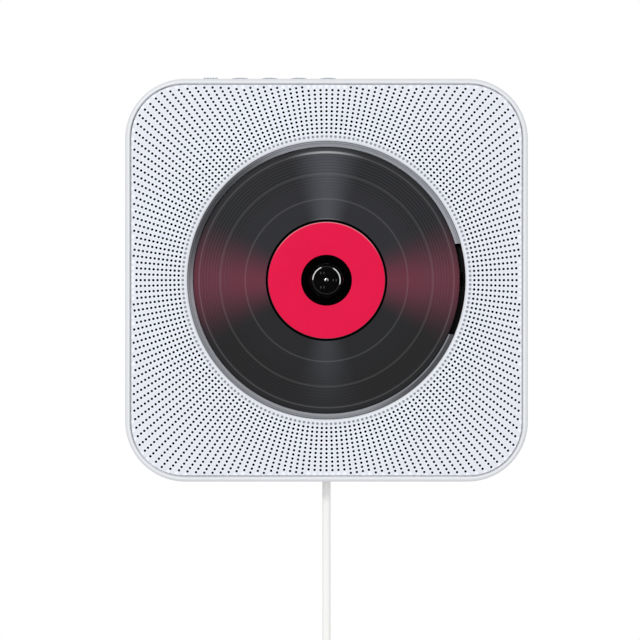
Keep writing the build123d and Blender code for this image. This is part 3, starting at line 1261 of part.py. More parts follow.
with BuildPart() as cord_hank:
    with BuildLine() as hank_line:
        Line((0, -CORD_DEPTH, CORD_END_Z), route[0][0])
        for place, (run_start, waist, run_end) in enumerate(route):
            along = -1 if place % 2 == 0 else 1
            for near, far in ((run_start, waist), (waist, run_end)):
                turn = tuple((a + b) / 2 for a, b in zip(near, far))
                TangentArc(near, turn, tangent=(0, 0, along))
                TangentArc(far, turn, tangent=(0, 0, -along))
            if place + 1 < len(route):
                fold_end = route[place + 1][0]
                fold_r = abs(fold_end[0] - run_end[0]) / 2
                reach = -fold_r if place % 2 == 0 else fold_r
                fold_mid = ((run_end[0] + fold_end[0]) / 2, run_end[1], run_end[2] + reach)
                ThreePointArc(run_end, fold_mid, fold_end)
        Line(route[-1][2], (route[-1][2][0], route[-1][2][1], TAIL_END_Z))
    with BuildSketch(Plane((0, -CORD_DEPTH, CORD_END_Z), x_dir=(1, 0, 0), z_dir=(0, 0, -1))):
        Circle(CORD_R)
    sweep(path=hank_line.wire())
write(cord_hank, "cord_hank")

hank_length = hank_line.wire().length
steps = int(hank_length / CORD_R)
hank_points = [tuple(hank_line.wire().position_at(n / steps)) for n in range(steps + 1)]
apart = int(4 * CORD_D / CORD_R)
least_gap = min(
    dist(hank_points[a], hank_points[b])
    for a in range(len(hank_points))
    for b in range(a + apart, len(hank_points))
) - CORD_D
print(f"hank: {hank_length:.0f} mm of cord, least gap to itself {least_gap:.2f} mm, "
      f"folds {FOLD_R:.1f} to {FOLD_MAX_R:.1f} mm radius")
print(f"hank volume {cord_hank.part.volume:.0f}, section times length {pi * CORD_R**2 * hank_length:.0f}")
print(f"cord from the exit to the plug {CORD_DROP + hank_length:.0f} mm")

# The tie goes round the waist, wide enough for the runs' slope within its own width.
waist_xs = [waist[0] for _, waist, _ in route]
waist_ys = [waist[1] for _, waist, _ in route]
bend_r = (HANK_RUN**2 / 16 + WAIST_IN**2 / 4) / WAIST_IN
tie_slack = 2 * (TIE_GAP + (TIE_W / 2) ** 2 / (2 * bend_r))
tie_w = max(waist_xs) - min(waist_xs) + CORD_D + tie_slack
tie_deep = max(waist_ys) - min(waist_ys) + CORD_D + tie_slack
tie_mid = ((max(waist_xs) + min(waist_xs)) / 2, (max(waist_ys) + min(waist_ys)) / 2)
with BuildPart() as cord_tie:
    with BuildSketch(Plane.XY.offset(waist_z - TIE_W / 2)):
        with Locations(tie_mid):
            RectangleRounded(tie_w + 2 * TIE_T, tie_deep + 2 * TIE_T, TIE_CORNER)
            RectangleRounded(tie_w, tie_deep, TIE_CORNER - TIE_T, mode=Mode.SUBTRACT)
    extrude(amount=TIE_W)
write(cord_tie, "cord_tie")

plug_x, plug_y, _ = route[-1][2]
with BuildPart() as plug_body:
    with BuildSketch(Plane.XY.offset(TAIL_END_Z - PLUG_NECK - PLUG_L)):
        with Locations((plug_x, plug_y)):
            RectangleRounded(PLUG_W, PLUG_T, PLUG_CORNER)
    extrude(amount=PLUG_L)
    chamfer(plug_body.faces().sort_by(Axis.Z)[-1].edges(), PLUG_CORNER / 2)
    with BuildSketch(Plane.XY.offset(TAIL_END_Z - PLUG_NECK)):
        with Locations((plug_x, plug_y)):
            Circle(PLUG_NECK_R)
    with BuildSketch(Plane.XY.offset(TAIL_END_Z)):
        with Locations((plug_x, plug_y)):
            Circle(CORD_R + PLUG_NECK_WALL)
    loft()
write(plug_body, "plug_body")

with BuildPart() as plug_shell:
    with BuildSketch(Plane.XY.offset(PLUG_END_Z)):
        with Locations((plug_x, plug_y)):
            Rectangle(PLUG_SHELL_W, PLUG_SHELL_T)
    extrude(amount=-PLUG_SHELL_L)
    with BuildSketch(Plane.XY.offset(PLUG_END_Z - PLUG_SHELL_L)):
        with Locations((plug_x, plug_y)):
            inner_w = PLUG_SHELL_W - 2 * PLUG_SHELL_WALL
            Rectangle(inner_w, PLUG_SHELL_T - 2 * PLUG_SHELL_WALL)
    extrude(amount=PLUG_SHELL_L - PLUG_SHELL_WALL, mode=Mode.SUBTRACT)
write(plug_shell, "plug_shell")

with BuildPart() as plug_tongue:
    tongue_y = plug_y + PLUG_SHELL_T / 2 - PLUG_SHELL_WALL - PLUG_TONGUE_T / 2
    with BuildSketch(Plane.XY.offset(PLUG_END_Z - PLUG_SHELL_WALL)):
        with Locations((plug_x, tongue_y)):
            Rectangle(PLUG_SHELL_W - 2 * PLUG_SHELL_WALL, PLUG_TONGUE_T)
    extrude(amount=-(PLUG_SHELL_L - 2 * PLUG_SHELL_WALL))
write(plug_tongue, "plug_tongue")
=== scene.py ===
import json
import math

import bmesh
import bpy
from bpy.props import FloatProperty, FloatVectorProperty, IntProperty, PointerProperty
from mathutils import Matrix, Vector

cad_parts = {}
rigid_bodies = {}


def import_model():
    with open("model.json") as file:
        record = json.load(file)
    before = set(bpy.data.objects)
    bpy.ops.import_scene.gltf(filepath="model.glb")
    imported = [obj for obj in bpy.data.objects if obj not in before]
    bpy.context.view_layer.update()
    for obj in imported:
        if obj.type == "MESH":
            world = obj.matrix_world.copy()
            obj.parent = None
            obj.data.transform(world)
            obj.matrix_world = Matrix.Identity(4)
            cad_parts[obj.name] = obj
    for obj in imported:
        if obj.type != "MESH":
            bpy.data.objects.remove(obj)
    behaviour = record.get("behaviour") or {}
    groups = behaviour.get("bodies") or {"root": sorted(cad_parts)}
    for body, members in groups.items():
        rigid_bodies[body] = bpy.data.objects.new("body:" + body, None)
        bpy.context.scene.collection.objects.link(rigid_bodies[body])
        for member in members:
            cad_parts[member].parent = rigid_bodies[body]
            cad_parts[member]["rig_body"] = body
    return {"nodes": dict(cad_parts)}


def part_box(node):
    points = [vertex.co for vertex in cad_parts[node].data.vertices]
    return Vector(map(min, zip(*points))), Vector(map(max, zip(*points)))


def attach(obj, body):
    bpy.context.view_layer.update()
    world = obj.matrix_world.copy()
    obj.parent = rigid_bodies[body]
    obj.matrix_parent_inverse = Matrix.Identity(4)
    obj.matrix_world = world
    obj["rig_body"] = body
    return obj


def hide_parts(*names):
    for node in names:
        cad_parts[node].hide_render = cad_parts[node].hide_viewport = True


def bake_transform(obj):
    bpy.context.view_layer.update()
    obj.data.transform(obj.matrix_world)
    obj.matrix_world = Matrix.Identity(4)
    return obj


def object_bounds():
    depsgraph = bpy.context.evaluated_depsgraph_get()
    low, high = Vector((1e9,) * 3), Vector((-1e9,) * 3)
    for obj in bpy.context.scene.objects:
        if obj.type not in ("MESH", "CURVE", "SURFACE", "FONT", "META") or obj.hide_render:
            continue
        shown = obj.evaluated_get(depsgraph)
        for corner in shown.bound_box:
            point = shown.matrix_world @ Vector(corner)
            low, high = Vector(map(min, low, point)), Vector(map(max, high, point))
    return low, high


bl_info = {
    "name": "Wall Mounted Disc Player",
    "version": (1, 0, 0),
    "blender": (4, 5, 0),
    "location": "3D View > Sidebar > Disc Player",
    "description": "Dresses the model of a wall mounted disc player and lights it",
    "category": "Add Mesh",
}

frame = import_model()
CAD_LOW, CAD_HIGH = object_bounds()

MM = 0.001
FULL_TURN = 2 * math.pi
GOLDEN_ANGLE = math.pi * (3 - math.sqrt(5))
SMOOTH_ANGLE = math.radians(32)
BLACK = (0.0, 0.0, 0.0)


def width_of(node, axis):
    """A CAD node's extent along one axis, in metres."""
    low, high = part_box(node)
    return high[axis] - low[axis]


# a name that ends in _D is a distance from the wall
FRONT_D = -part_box("grille_panel")[0].y
PANEL_T = width_of("grille_panel", 1)
DISC_FRONT_D = -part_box("disc")[0].y
DISC_BACK_D = -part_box("disc")[1].y
CORD_DEPTH = -(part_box("cord")[0].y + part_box("cord")[1].y) / 2
CASE_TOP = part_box("front_shell")[1].z
HUB_PIN_RING = 3.7 * MM


# ---- sizes and colours that a user would change ------------------------------------------------------


def size_property(name, description, default):
    return FloatProperty(name=name, description=description, default=default, unit="LENGTH")


def count_property(name, description, default):
    return IntProperty(name=name, description=description, default=default)


def colour_property(name, description, default):
    return FloatVectorProperty(name=name, description=description, subtype="COLOR", default=default)


class PanelSizes(bpy.types.PropertyGroup):
    """Sizes of the perforated front panel."""

    half: size_property("Half width", "Half the panel's width", width_of("grille_panel", 0) / 2)
    corner: size_property("Corner radius", "Radius of the panel's outer corners", 23.65 * MM)
    edge: size_property("Edge radius", "Radius of the rounded outer edge of the panel", 0.25 * MM)
    well: size_property("Well radius", "Radius of the round opening for the disc", 62.5 * MM)
    lip: size_property("Lip radius", "Radius of the rounded edge between the face and the well", 1.2 * MM)
    spokes: count_property("Spokes", "Number of rows of holes round the disc", 200)
    rings: count_property("Rings", "Number of circles of holes, counted from the well", 26)
    first_ring: size_property("First circle", "Radius of the innermost circle, of dimples", 64.54 * MM)
    ring_step: size_property("Circle spacing", "Distance from one circle of holes to the next", 1.893 * MM)
    hole: size_property("Hole radius", "Radius of one hole", 0.62 * MM)
    field_half: size_property("Field half width", "Half the width of the field of holes", 86.7 * MM)
    field_corner: size_property("Field corner radius", "Corner radius of the field of holes", 22.5 * MM)
    dimple: size_property("Dimple depth", "Depth of the innermost circle's blind dimples", 0.3 * MM)
    colour: colour_property("Colour", "Colour of the white plastic", (0.772, 0.796, 0.86))


class DiscSizes(bpy.types.PropertyGroup):
    """Sizes and colours of the disc and its label."""

    radius: size_property("Radius", "Outer radius of the disc", width_of("disc", 2) / 2)
    hole: size_property("Hole radius", "Radius of the disc's centre hole", 7.5 * MM)
    label_inner: size_property("Label inner radius", "Inner radius of the printed label", 11.45 * MM)
    label_outer: size_property("Label outer radius", "Outer radius of the printed label", 26.2 * MM)
    groove_pitch: size_property("Groove spacing", "Distance between the fine circular grooves", 1.3 * MM)
    label_colour: colour_property("Label colour", "Colour of the printed label", (0.76, 0.0057, 0.0605))


class LeadSizes(bpy.types.PropertyGroup):
    """Sizes of the lead that hangs from the player and works its pull switch."""

    diameter: size_property("Diameter", "Outer diameter of the lead", 3.8 * MM)
    length: size_property("Length", "Length from the case to the plug", 1.544)
    run: size_property("Hank run", "Length of the straight runs of the put-away hank", 75.0 * MM)
    fold: size_property("Fold radius", "Radius of the hank's tightest fold", 12.4 * MM)
    step: size_property("Hank step", "Distance from one turn of the hank to the next", 5.0 * MM)
    layer: size_property("Layer step", "Distance from one layer of the hank to the next", 4.4 * MM)
    waist: size_property("Waist", "How far the tie draws each run of the hank inwards", 9.9 * MM)
    turns: count_property("Turns", "Number of turns in one layer of the hank", 3)


class StageSizes(bpy.types.PropertyGroup):
    """Where the camera stands and how bright the lamps are."""

    view_width: size_property("View width", "Width of the picture at the player's front face", 287.4 * MM)
    distance: size_property("Distance", "Distance of the camera from the player's front face", 2.5)
    aim: FloatVectorProperty(
        name="Aim",
        description="Point at the middle of the picture",
        subtype="XYZ",
        unit="LENGTH",
        default=(-2.92 * MM, 0.0, -17.9 * MM),
    )
    key_power: FloatProperty(
        name="Key power",
        description="Power of the lamp at the upper left, in watts",
        default=16.8,
    )
    room_light: FloatProperty(
        name="Room light",
        description="Strength of the even light from all round",
        default=0.7,
    )


# ---- shader helpers ----------------------------------------------------------------------------------


class Reading:
    """A node's output socket. Arithmetic on readings of single values adds Math nodes."""

    def __init__(self, tree, socket):
        self.tree = tree
        self.socket = socket

    def __add__(self, other):
        return self.tree.calc("ADD", self, other)

    __radd__ = __add__

    def __sub__(self, other):
        return self.tree.calc("SUBTRACT", self, other)

    def __rsub__(self, other):
        return self.tree.calc("SUBTRACT", other, self)

    def __mul__(self, other):
        return self.tree.calc("MULTIPLY", self, other)

    __rmul__ = __mul__

    def __truediv__(self, other):
        return self.tree.calc("DIVIDE", self, other)

    def __rtruediv__(self, other):
        return self.tree.calc("DIVIDE", other, self)

    def __mod__(self, other):
        return self.tree.calc("FLOORED_MODULO", self, other)

    def __abs__(self):
        return self.tree.calc("ABSOLUTE", self)

    def __lt__(self, other):
        return self.tree.calc("LESS_THAN", self, other)

    def __gt__(self, other):
        return self.tree.calc("GREATER_THAN", self, other)


class NodeTree:
    """A node tree under construction."""

    def __init__(self, tree):
        self.tree = tree
        tree.nodes.clear()

    def feed(self, socket, value):
        """Links a reading or a list of them to a socket, or sets the socket to a plain value."""
        if isinstance(value, Reading):
            value = [value]
        if isinstance(value, list):
            for reading in value:
                self.tree.links.new(reading.socket, socket)
        else:
            socket.default_value = value

    def readings(self, kind, settings=None, inputs=None):
        """All outputs of a new node, whose settings come before its sockets."""
        made = self.tree.nodes.new(kind)
        for key, value in (settings or {}).items():
            setattr(made, key, value)
        for key, value in (inputs or {}).items():
            self.feed(made.inputs[key], value)
        return {socket.identifier: Reading(self, socket) for socket in made.outputs}

    def node(self, kind, settings=None, inputs=None, output=0):
        """One output of a new node, by its place."""
        return list(self.readings(kind, settings, inputs).values())[output]

    def calc(self, operation, *values):
        return self.node("ShaderNodeMath", {"operation": operation}, dict(enumerate(values)))

    def sine(self, value):
        return self.calc("SINE", value)

    def cosine(self, value):
        return self.calc("COSINE", value)

    def hypotenuse(self, first, second):
        return self.calc("SQRT", first * first + second * second)

    def separated(self, vector):
        """Readings of a vector's x, y and z."""
        return self.readings("ShaderNodeSeparateXYZ", None, {0: vector}).values()


class Finish(NodeTree):
    """One material: a Principled shader and the nodes that feed it."""

    def __init__(self, name, roughness, specular=0.5, metallic=0.0):
        self.material = bpy.data.materials.new(name)
        self.material.use_nodes = True
        super().__init__(self.material.node_tree)
        self.shader = self.tree.nodes.new("ShaderNodeBsdfPrincipled")
        surface = self.tree.nodes.new("ShaderNodeOutputMaterial")
        self.tree.links.new(self.shader.outputs["BSDF"], surface.inputs["Surface"])
        self.set("Roughness", roughness)
        self.set("Specular IOR Level", specular)
        self.set("Metallic", metallic)

    def set(self, socket, value):
        self.feed(self.shader.inputs[socket], value)

    def wave(self, value, pitch):
        """A ripple between 0 and 1 that repeats each time a reading grows by the pitch."""
        return self.sine(value * (FULL_TURN / pitch)) * 0.5 + 0.5

    def place(self):
        return self.readings("ShaderNodeTexCoord")["Object"]

    def across(self):
        """Readings of x, y and z in the object's own metres."""
        return self.separated(self.place())

    def polar(self):
        """Readings of the distance from the disc's axis and of the angle round it."""
        x, _, z = self.across()
        return self.hypotenuse(x, z), self.calc("ARCTAN2", z, x)

    def between(self, value, low, high, at_low=0.0, at_high=1.0):
        """A smooth step from one value to another as a reading goes from low to high."""
        inputs = {0: value, 1: low, 2: high, 3: at_low, 4: at_high}
        return self.node("ShaderNodeMapRange", {"interpolation_type": "SMOOTHSTEP"}, inputs)

    def band(self, value, middle, none, full):
        """1 where a reading is at most full away from a middle value, and 0 from none away on."""
        return self.between(abs(value - middle), none, full)

    def blend(self, factor, first, second):
        """A colour mixed from two others."""
        inputs = {0: factor, 6: colour(first), 7: colour(second)}
        return self.node("ShaderNodeMix", {"data_type": "RGBA"}, inputs, output=2)

    def lit(self, factor, base, light):
        """A colour with a share of another added to it."""
        settings = {"data_type": "RGBA", "blend_type": "ADD"}
        inputs = {0: factor, 6: colour(base), 7: colour(light)}
        return self.node("ShaderNodeMix", settings, inputs, output=2)

    def mottled(self, pattern, tone, spread):
        """A colour that a pattern makes darker and lighter by a share of itself."""
        return self.blend(pattern, shaded(tone, -spread), shaded(tone, spread))

    def noise(self, scale, detail=2.0, stretch=None):
        where = self.place()
        if stretch:
            where = self.node("ShaderNodeMapping", None, {0: where, 3: stretch})
        inputs = {"Vector": where, "Scale": scale, "Detail": detail, "Roughness": 0.55}
        return self.node("ShaderNodeTexNoise", None, inputs)

    def bump(self, height, depth):
        """Feeds the shader's Normal from a height between 0 and 1 and its depth in metres."""
        self.set("Normal", self.node("ShaderNodeBump", None, {"Height": height, "Distance": depth}))


def colour(value):
    """An RGBA tuple from an RGB one, or the reading itself."""
    return value if isinstance(value, Reading) else (*value, 1.0)


def grey(level):
    return (level, level, level)


def shaded(tone, change):
    """A colour made lighter or darker by a share of itself."""
    return tuple(min(1.0, part * (1 + change)) for part in tone)


# ---- finishes ----------------------------------------------------------------------------------------

SPARK_GRAIN = 2600.0
SPARK_DEPTH = 0.004 * MM


def moulded_plastic(name, tone, roughness):
    """Moulded plastic with a fine spark-eroded grain and a faint drift of its colour."""
    finish = Finish(name, roughness, specular=0.4)
    finish.set("Base Color", finish.mottled(finish.noise(38.0), tone, 0.02))
    texture = finish.noise(SPARK_GRAIN)
    finish.set("Roughness", roughness - 0.05 + 0.1 * texture)
    finish.bump(texture, SPARK_DEPTH)
    return finish.material


def housing_plastic(sizes):
    """The housing's white plastic, with a painted highlight along the inner edge of its rim and painted
    light down the groove round the panel. Its ledge behind the panel shows only through the outermost
    holes, and is painted dark as shade."""
    finish = Finish("housing white", roughness=0.4, specular=0.4)
    tone = (0.722, 0.737, 0.773)
    x, y, z = finish.across()
    straight = sizes.half - sizes.corner
    over = finish.calc("MAXIMUM", abs(x) - straight, 0.0)
    up = finish.calc("MAXIMUM", abs(z) - straight, 0.0)
    outside = finish.hypotenuse(over, up) - sizes.corner
    depth = y + FRONT_D
    # painted highlight: a lighter band along the inner edge of the rim
    painted_edge_light = finish.band(outside, 1.15 * MM, 0.5 * MM, 0.25 * MM)
    painted_edge_light = painted_edge_light * finish.between(depth, 1.5 * MM, 1.0 * MM)
    # painted light: the groove round the panel is made lighter than its shade
    groove = finish.band(outside, 0.28 * MM, 0.6 * MM, 0.4 * MM)
    groove = groove * finish.between(depth, 0.2 * MM, 0.4 * MM)
    # painted shade: the ledge behind the panel, seen through the holes, is made near black
    ledge = finish.band(depth, PANEL_T + 0.9 * MM, 1.2 * MM, 1.0 * MM)
    ledge = ledge * finish.between(outside, 0.0, -0.1 * MM)
    base = finish.mottled(finish.noise(38.0), tone, 0.02)
    base = finish.blend(painted_edge_light, base, shaded(tone, 0.12))
    base = finish.blend(groove, base, (0.97, 0.97, 0.98))
    finish.set("Base Color", finish.blend(ledge, base, (0.02, 0.02, 0.022)))
    finish.bump(finish.noise(SPARK_GRAIN), SPARK_DEPTH)
    return finish.material


def perforated_plastic(sizes):
    """White plastic, with a painted highlight round the rim of each hole, painted light on the lip of the
    well, and painted shade at the bottom of the blind dimples."""
    finish = Finish("panel white", roughness=0.42, specular=0.35)
    radius, angle = finish.polar()
    ring = (radius - sizes.first_ring) / sizes.ring_step
    spoke = angle * (sizes.spokes / FULL_TURN)
    off_ring = ((ring + 0.5) % 1.0 - 0.5) * sizes.ring_step
    off_spoke = ((spoke + 0.5) % 1.0 - 0.5) * radius * (FULL_TURN / sizes.spokes)
    apart = finish.hypotenuse(off_ring, off_spoke)
    # painted highlight: a lighter halo round each through hole
    rim = finish.between(apart, sizes.hole * 1.7, sizes.hole * 1.05) * (ring > 0.5)
    # painted shade: dark grey at the bottom of the blind dimples
    blind = finish.between(apart, sizes.hole * 1.05, sizes.hole * 0.85) * (abs(ring) < 0.5)
    # painted light: the rounded lip of the well is made lighter
    lip = finish.between(radius, sizes.well + 0.55 * MM, sizes.well + 0.1 * MM)
    tone = tuple(sizes.colour)
    base = finish.blend(finish.noise(30.0), shaded(tone, -0.025), tone)
    base = finish.blend(rim * 0.9, base, shaded(tone, 0.17))
    base = finish.blend(lip, base, (0.88, 0.89, 0.92))
    finish.set("Base Color", finish.blend(blind, base, (0.3, 0.31, 0.34)))
    finish.bump(finish.noise(SPARK_GRAIN), SPARK_DEPTH)
    return finish.material


def pressed_disc(sizes):
    """The dark disc: fine circular grooves, smooth bands between the tracks, and painted sheen: grey above
    and below the label, a deep red at its sides, a lighter upper half, and painted highlights on the groove
    crests and rings."""
    finish = Finish("disc surface", roughness=0.16, specular=0.26)
    first_groove, last_groove = 38.5 * MM, 56.6 * MM
    track_gap_sheen = ((36.6 * MM, 0.045), (47.87 * MM, 0.045), (57.35 * MM, 0.063))
    radius, angle = finish.polar()
    height = finish.sine(angle)
    aside = abs(finish.cosine(angle))

    # where the grooves are, and where the light falls
    ripple = finish.wave(radius, sizes.groove_pitch)
    fine = finish.wave(radius, 0.31 * MM)
    grooved = finish.between(radius, first_groove - 1.0 * MM, first_groove)
    grooved = grooved * finish.between(radius, last_groove + 0.4 * MM, last_groove)
    upper = finish.between(height, -0.55, 0.3)
    upright = finish.between(aside, 0.33, 0.0)
    top = upright * finish.between(height, 0.0, 0.5)
    bottom = upright * finish.between(height, 0.0, -0.5)
    bottom = bottom * finish.between(radius, 72.0 * MM, 26.0 * MM, 0.0, 0.5)
    sideways = finish.between(abs(height), 0.52, 0.0)

    dip = grooved * (0.22 + 0.78 * finish.between(radius, 41.0 * MM, 46.0 * MM))
    # painted sheen: the upper half is lighter than the lower
    base = finish.blend(upper, (0.0055, 0.0059, 0.0078), (0.0134, 0.0138, 0.018))
    base = finish.blend(dip * 0.8, base, BLACK)
    # painted reflection: deep red at the sides, grey at the top and bottom
    base = finish.blend(sideways, base, (0.121, 0.0195, 0.04))
    base = finish.blend(top + bottom, base, (0.056, 0.058, 0.069))
    base = finish.blend(dip * 0.1, base, BLACK)
    # painted highlight on the crests of the grooves, stronger in the upper half
    crest_highlight = dip * ripple * (0.28 + 0.47 * upper)
    base = finish.lit(crest_highlight, base, (0.0195, 0.0205, 0.026))
    # painted sheen: lighter rings at the smooth track gaps
    for middle, brightness in track_gap_sheen:
        gap = finish.band(radius, middle, 0.5 * MM, 0.1 * MM)
        base = finish.lit(gap * 0.72, base, grey(brightness))
    # painted highlights at the top of the outer rim and of the moat's outer edge
    rim_light = finish.band(radius, 57.6 * MM, 0.6 * MM, 0.3 * MM) * top
    moat_light = finish.band(radius, sizes.label_outer + 1.45 * MM, 0.5 * MM, 0.1 * MM) * top
    base = finish.lit(rim_light, base, grey(0.3))
    base = finish.lit(moat_light, base, grey(0.06))
    edge = finish.between(radius, sizes.radius - 1.4 * MM, sizes.radius - 1.0 * MM)
    base = finish.blend(edge * (0.4 - 0.3 * sideways), base, grey(0.002))
    finish.set("Base Color", base)
    finish.set("Roughness", 0.13 + 0.06 * fine)
    finish.bump(ripple * grooved * 0.6 + fine * grooved * 0.4, 0.012 * MM)
    return finish.material


def label_print(sizes):
    """Glossy red print with a faint mottle, and a painted highlight, paler, along the upper part of its
    outer edge.
    """
    finish = Finish("label red", roughness=0.3, specular=0.1)
    tone = tuple(sizes.label_colour)
    radius, angle = finish.polar()
    mottle = finish.noise(90.0, detail=4.0)
    upper = finish.between(finish.sine(angle), 0.35, 0.75)
    outer = finish.between(radius, sizes.label_outer - 0.5 * MM, sizes.label_outer - 0.1 * MM)
    highlight_pink = tuple(part + (1 - part) * 0.28 for part in tone)
    # painted highlight: paler pink along the upper outer edge
    base = finish.blend(outer * upper * 0.8, finish.mottled(mottle, tone, 0.05), highlight_pink)
    finish.set("Base Color", base)
    finish.set("Roughness", 0.26 + 0.08 * mottle)
    finish.bump(finish.noise(1500.0, detail=1.0), 0.002 * MM)
    return finish.material


def hub_pins():
    """Where the three pins stand on the hub's face."""
    turns = [FULL_TURN * pin / 3 for pin in range(3)]
    return [(HUB_PIN_RING * math.cos(turn), HUB_PIN_RING * math.sin(turn)) for turn in turns]


def hub_gloss():
    """The hub's polished black plastic, with painted highlights: bright arcs at both sides of its raised
    ring, a faint lighter band round it, and glints beside its three pins.
    """
    finish = Finish("hub black", roughness=0.08, specular=0.02)
    radius, angle = finish.polar()
    x, _, z = finish.across()
    on_ring = finish.band(radius, 6.15 * MM, 0.28 * MM, 0.12 * MM)
    marks = finish.noise(160.0, detail=4.0)
    base = finish.blend(marks, grey(0.0003), (0.0025, 0.0025, 0.003))
    # painted reflection: a faint lighter band all round the raised ring
    base = finish.lit(on_ring, base, (0.018, 0.018, 0.02))
    # painted highlights: bright arcs on the raised ring at the right and at the upper left
    for middle, reach, full in ((22, 44, 0.86), (145, 36, 0.87)):
        arc = finish.cosine(angle - math.radians(middle))
        arc = finish.between(arc, math.cos(math.radians(reach)), full)
        base = finish.lit(on_ring * arc, base, (0.75, 0.76, 0.78))
    # painted glints at both sides of each pin
    for pin_x, pin_z in hub_pins():
        side = finish.band(abs(x - pin_x), 0.7 * MM, 0.3 * MM, 0.1 * MM)
        side = side * finish.band(z, pin_z, 0.7 * MM, 0.3 * MM)
        base = finish.lit(side, base, (0.06, 0.06, 0.063))
    finish.set("Base Color", base)
    finish.set("Roughness", 0.05 + 0.07 * marks)
    return finish.material


def shaft_steel():
    """The motor shaft: dark steel with a painted highlight over the top of its domed tip, brightest at the
    left.
    """
    finish = Finish("shaft steel", roughness=0.2, metallic=1.0)
    x, _, height = finish.across()
    radius, _ = finish.polar()
    # painted highlight: a bright band over the upper half of the tip, stronger at the left
    crown = finish.between(height, -0.45 * MM, 0.0) * finish.between(radius, 0.25 * MM, 0.55 * MM)
    left = finish.between(x, 0.2 * MM, -0.4 * MM)
    base = finish.lit(crown * (0.35 + 0.65 * left), (0.012, 0.012, 0.013), (0.8, 0.8, 0.82))
    finish.set("Base Color", base)
    finish.set("Roughness", 0.15 + 0.1 * finish.noise(900.0))
    return finish.material


def satin_black(name, roughness=0.55, specular=0.1, level=0.0025):
    """Black moulded plastic with a fine grain."""
    finish = Finish(name, roughness, specular)
    grain = finish.noise(1800.0)
    low = (level, level, level * 1.1)
    finish.set("Base Color", finish.blend(grain, low, shaded(low, 1.0)))
    finish.bump(grain, 0.006 * MM)
    return finish.material


def well_grey():
    """The well's grey wall: satin, with two darker lobes of painted reflection, painted light that makes it
    brighter towards its foot, and painted shade over its lower half.
    """
    finish = Finish("well grey", roughness=0.38, specular=0.3)
    radius, angle = finish.polar()
    x, _, _ = finish.across()
    # painted reflection: two darker lobes across the wall, weaker at the foot on the right
    lobe = finish.sine(angle * 2.0 - math.radians(205.0)) * 0.5 + 0.5
    foot = finish.between(radius, 60.85 * MM, 60.4 * MM) * finish.between(x, 0.0, 20.0 * MM)
    dark = finish.between(lobe, 0.5, 1.0) * (1 - 0.85 * foot)
    # painted shade: the lower half is darker
    lower = finish.between(finish.sine(angle), 0.1, -0.4)
    # painted light: brighter towards the foot, where the well is deepest
    rise = finish.between(radius, 60.2 * MM, 62.1 * MM)
    base = finish.blend(rise, (0.67, 0.69, 0.75), (0.33, 0.345, 0.38))
    base = finish.blend(dark * 0.88, base, (0.06, 0.06, 0.068))
    finish.set("Base Color", finish.blend(lower * 0.16, base, BLACK))
    finish.bump(finish.noise(1500.0), 0.004 * MM)
    return finish.material


def metal(name, tone, roughness, streaks=None, blotches=0.0):
    """Bare or plated metal, drawn along one way or mottled."""
    finish = Finish(name, roughness, metallic=1.0)
    lines = finish.noise(240.0, detail=4.0, stretch=streaks)
    finish.set("Base Color", finish.mottled(lines, tone, 0.06 + blotches))
    finish.set("Roughness", roughness - 0.06 + 0.12 * lines)
    finish.bump(lines, 0.004 * MM)
    return finish.material


def galvanised():
    """Zinc coated sheet: crystals of slightly different grey."""
    finish = Finish("galvanised steel", roughness=0.42, metallic=0.9)
    inputs = {"Vector": finish.place(), "Scale": 210.0}
    flake = finish.readings("ShaderNodeTexVoronoi", {"feature": "F1"}, inputs)["Color"]
    tone = finish.node("ShaderNodeSeparateColor", None, {0: flake})
    finish.set("Base Color", finish.blend(tone, (0.42, 0.44, 0.46), (0.62, 0.64, 0.66)))
    finish.set("Roughness", 0.34 + 0.16 * tone)
    return finish.material


def soft_rubber(name, tone):
    """Rubber with a dusty, uneven surface."""
    finish = Finish(name, roughness=0.75, specular=0.25)
    dust = finish.noise(400.0, detail=4.0)
    finish.set("Base Color", finish.mottled(dust, tone, 0.12))
    finish.bump(dust, 0.01 * MM)
    return finish.material


def clear_glass():
    """The pickup's lens: a drop with a blue coating, darker towards its back."""
    finish = Finish("lens glass", roughness=0.03, specular=0.6)
    _, y, _ = finish.across()
    deep = finish.between(y, -35.6 * MM, -34.5 * MM)
    finish.set("Base Color", finish.blend(deep, (0.02, 0.03, 0.09), (0.004, 0.006, 0.02)))
    finish.set("Coat Weight", 1.0)
    return finish.material


def circuit_board(name, second_axis):
    """Green solder mask over fine tracks that run along x and along a second axis."""
    finish = Finish(name, roughness=0.32, specular=0.4)
    places = list(finish.across())
    wander = finish.noise(60.0, detail=1.0) * (4 * MM)
    track = finish.sine((places[0] + wander) * 2600.0) * 0.5 + 0.5
    cross = finish.sine((places[second_axis] + wander) * 1900.0) * 0.5 + 0.5
    lines = finish.between(track * cross, 0.45, 0.6)
    finish.set("Base Color", finish.blend(lines, (0.008, 0.075, 0.03), (0.03, 0.19, 0.08)))
    finish.bump(lines, 0.02 * MM)
    return finish.material


def woven_cloth():
    """Open black dust cloth."""
    finish = Finish("dust cloth", roughness=0.95, specular=0.03)
    x, _, z = finish.across()
    threads = finish.wave(x, 0.35 * MM) * finish.wave(z, 0.35 * MM)
    finish.set("Base Color", finish.blend(threads, grey(0.001), grey(0.004)))
    finish.bump(threads, 0.05 * MM)
    return finish.material


def pressed_paper():
    """Speaker cone paper with its fibres."""
    finish = Finish("cone paper", roughness=0.85, specular=0.15)
    fibre = finish.noise(700.0, detail=5.0)
    finish.set("Base Color", finish.blend(fibre, (0.012, 0.012, 0.013), (0.03, 0.03, 0.032)))
    finish.bump(fibre, 0.03 * MM)
    return finish.material


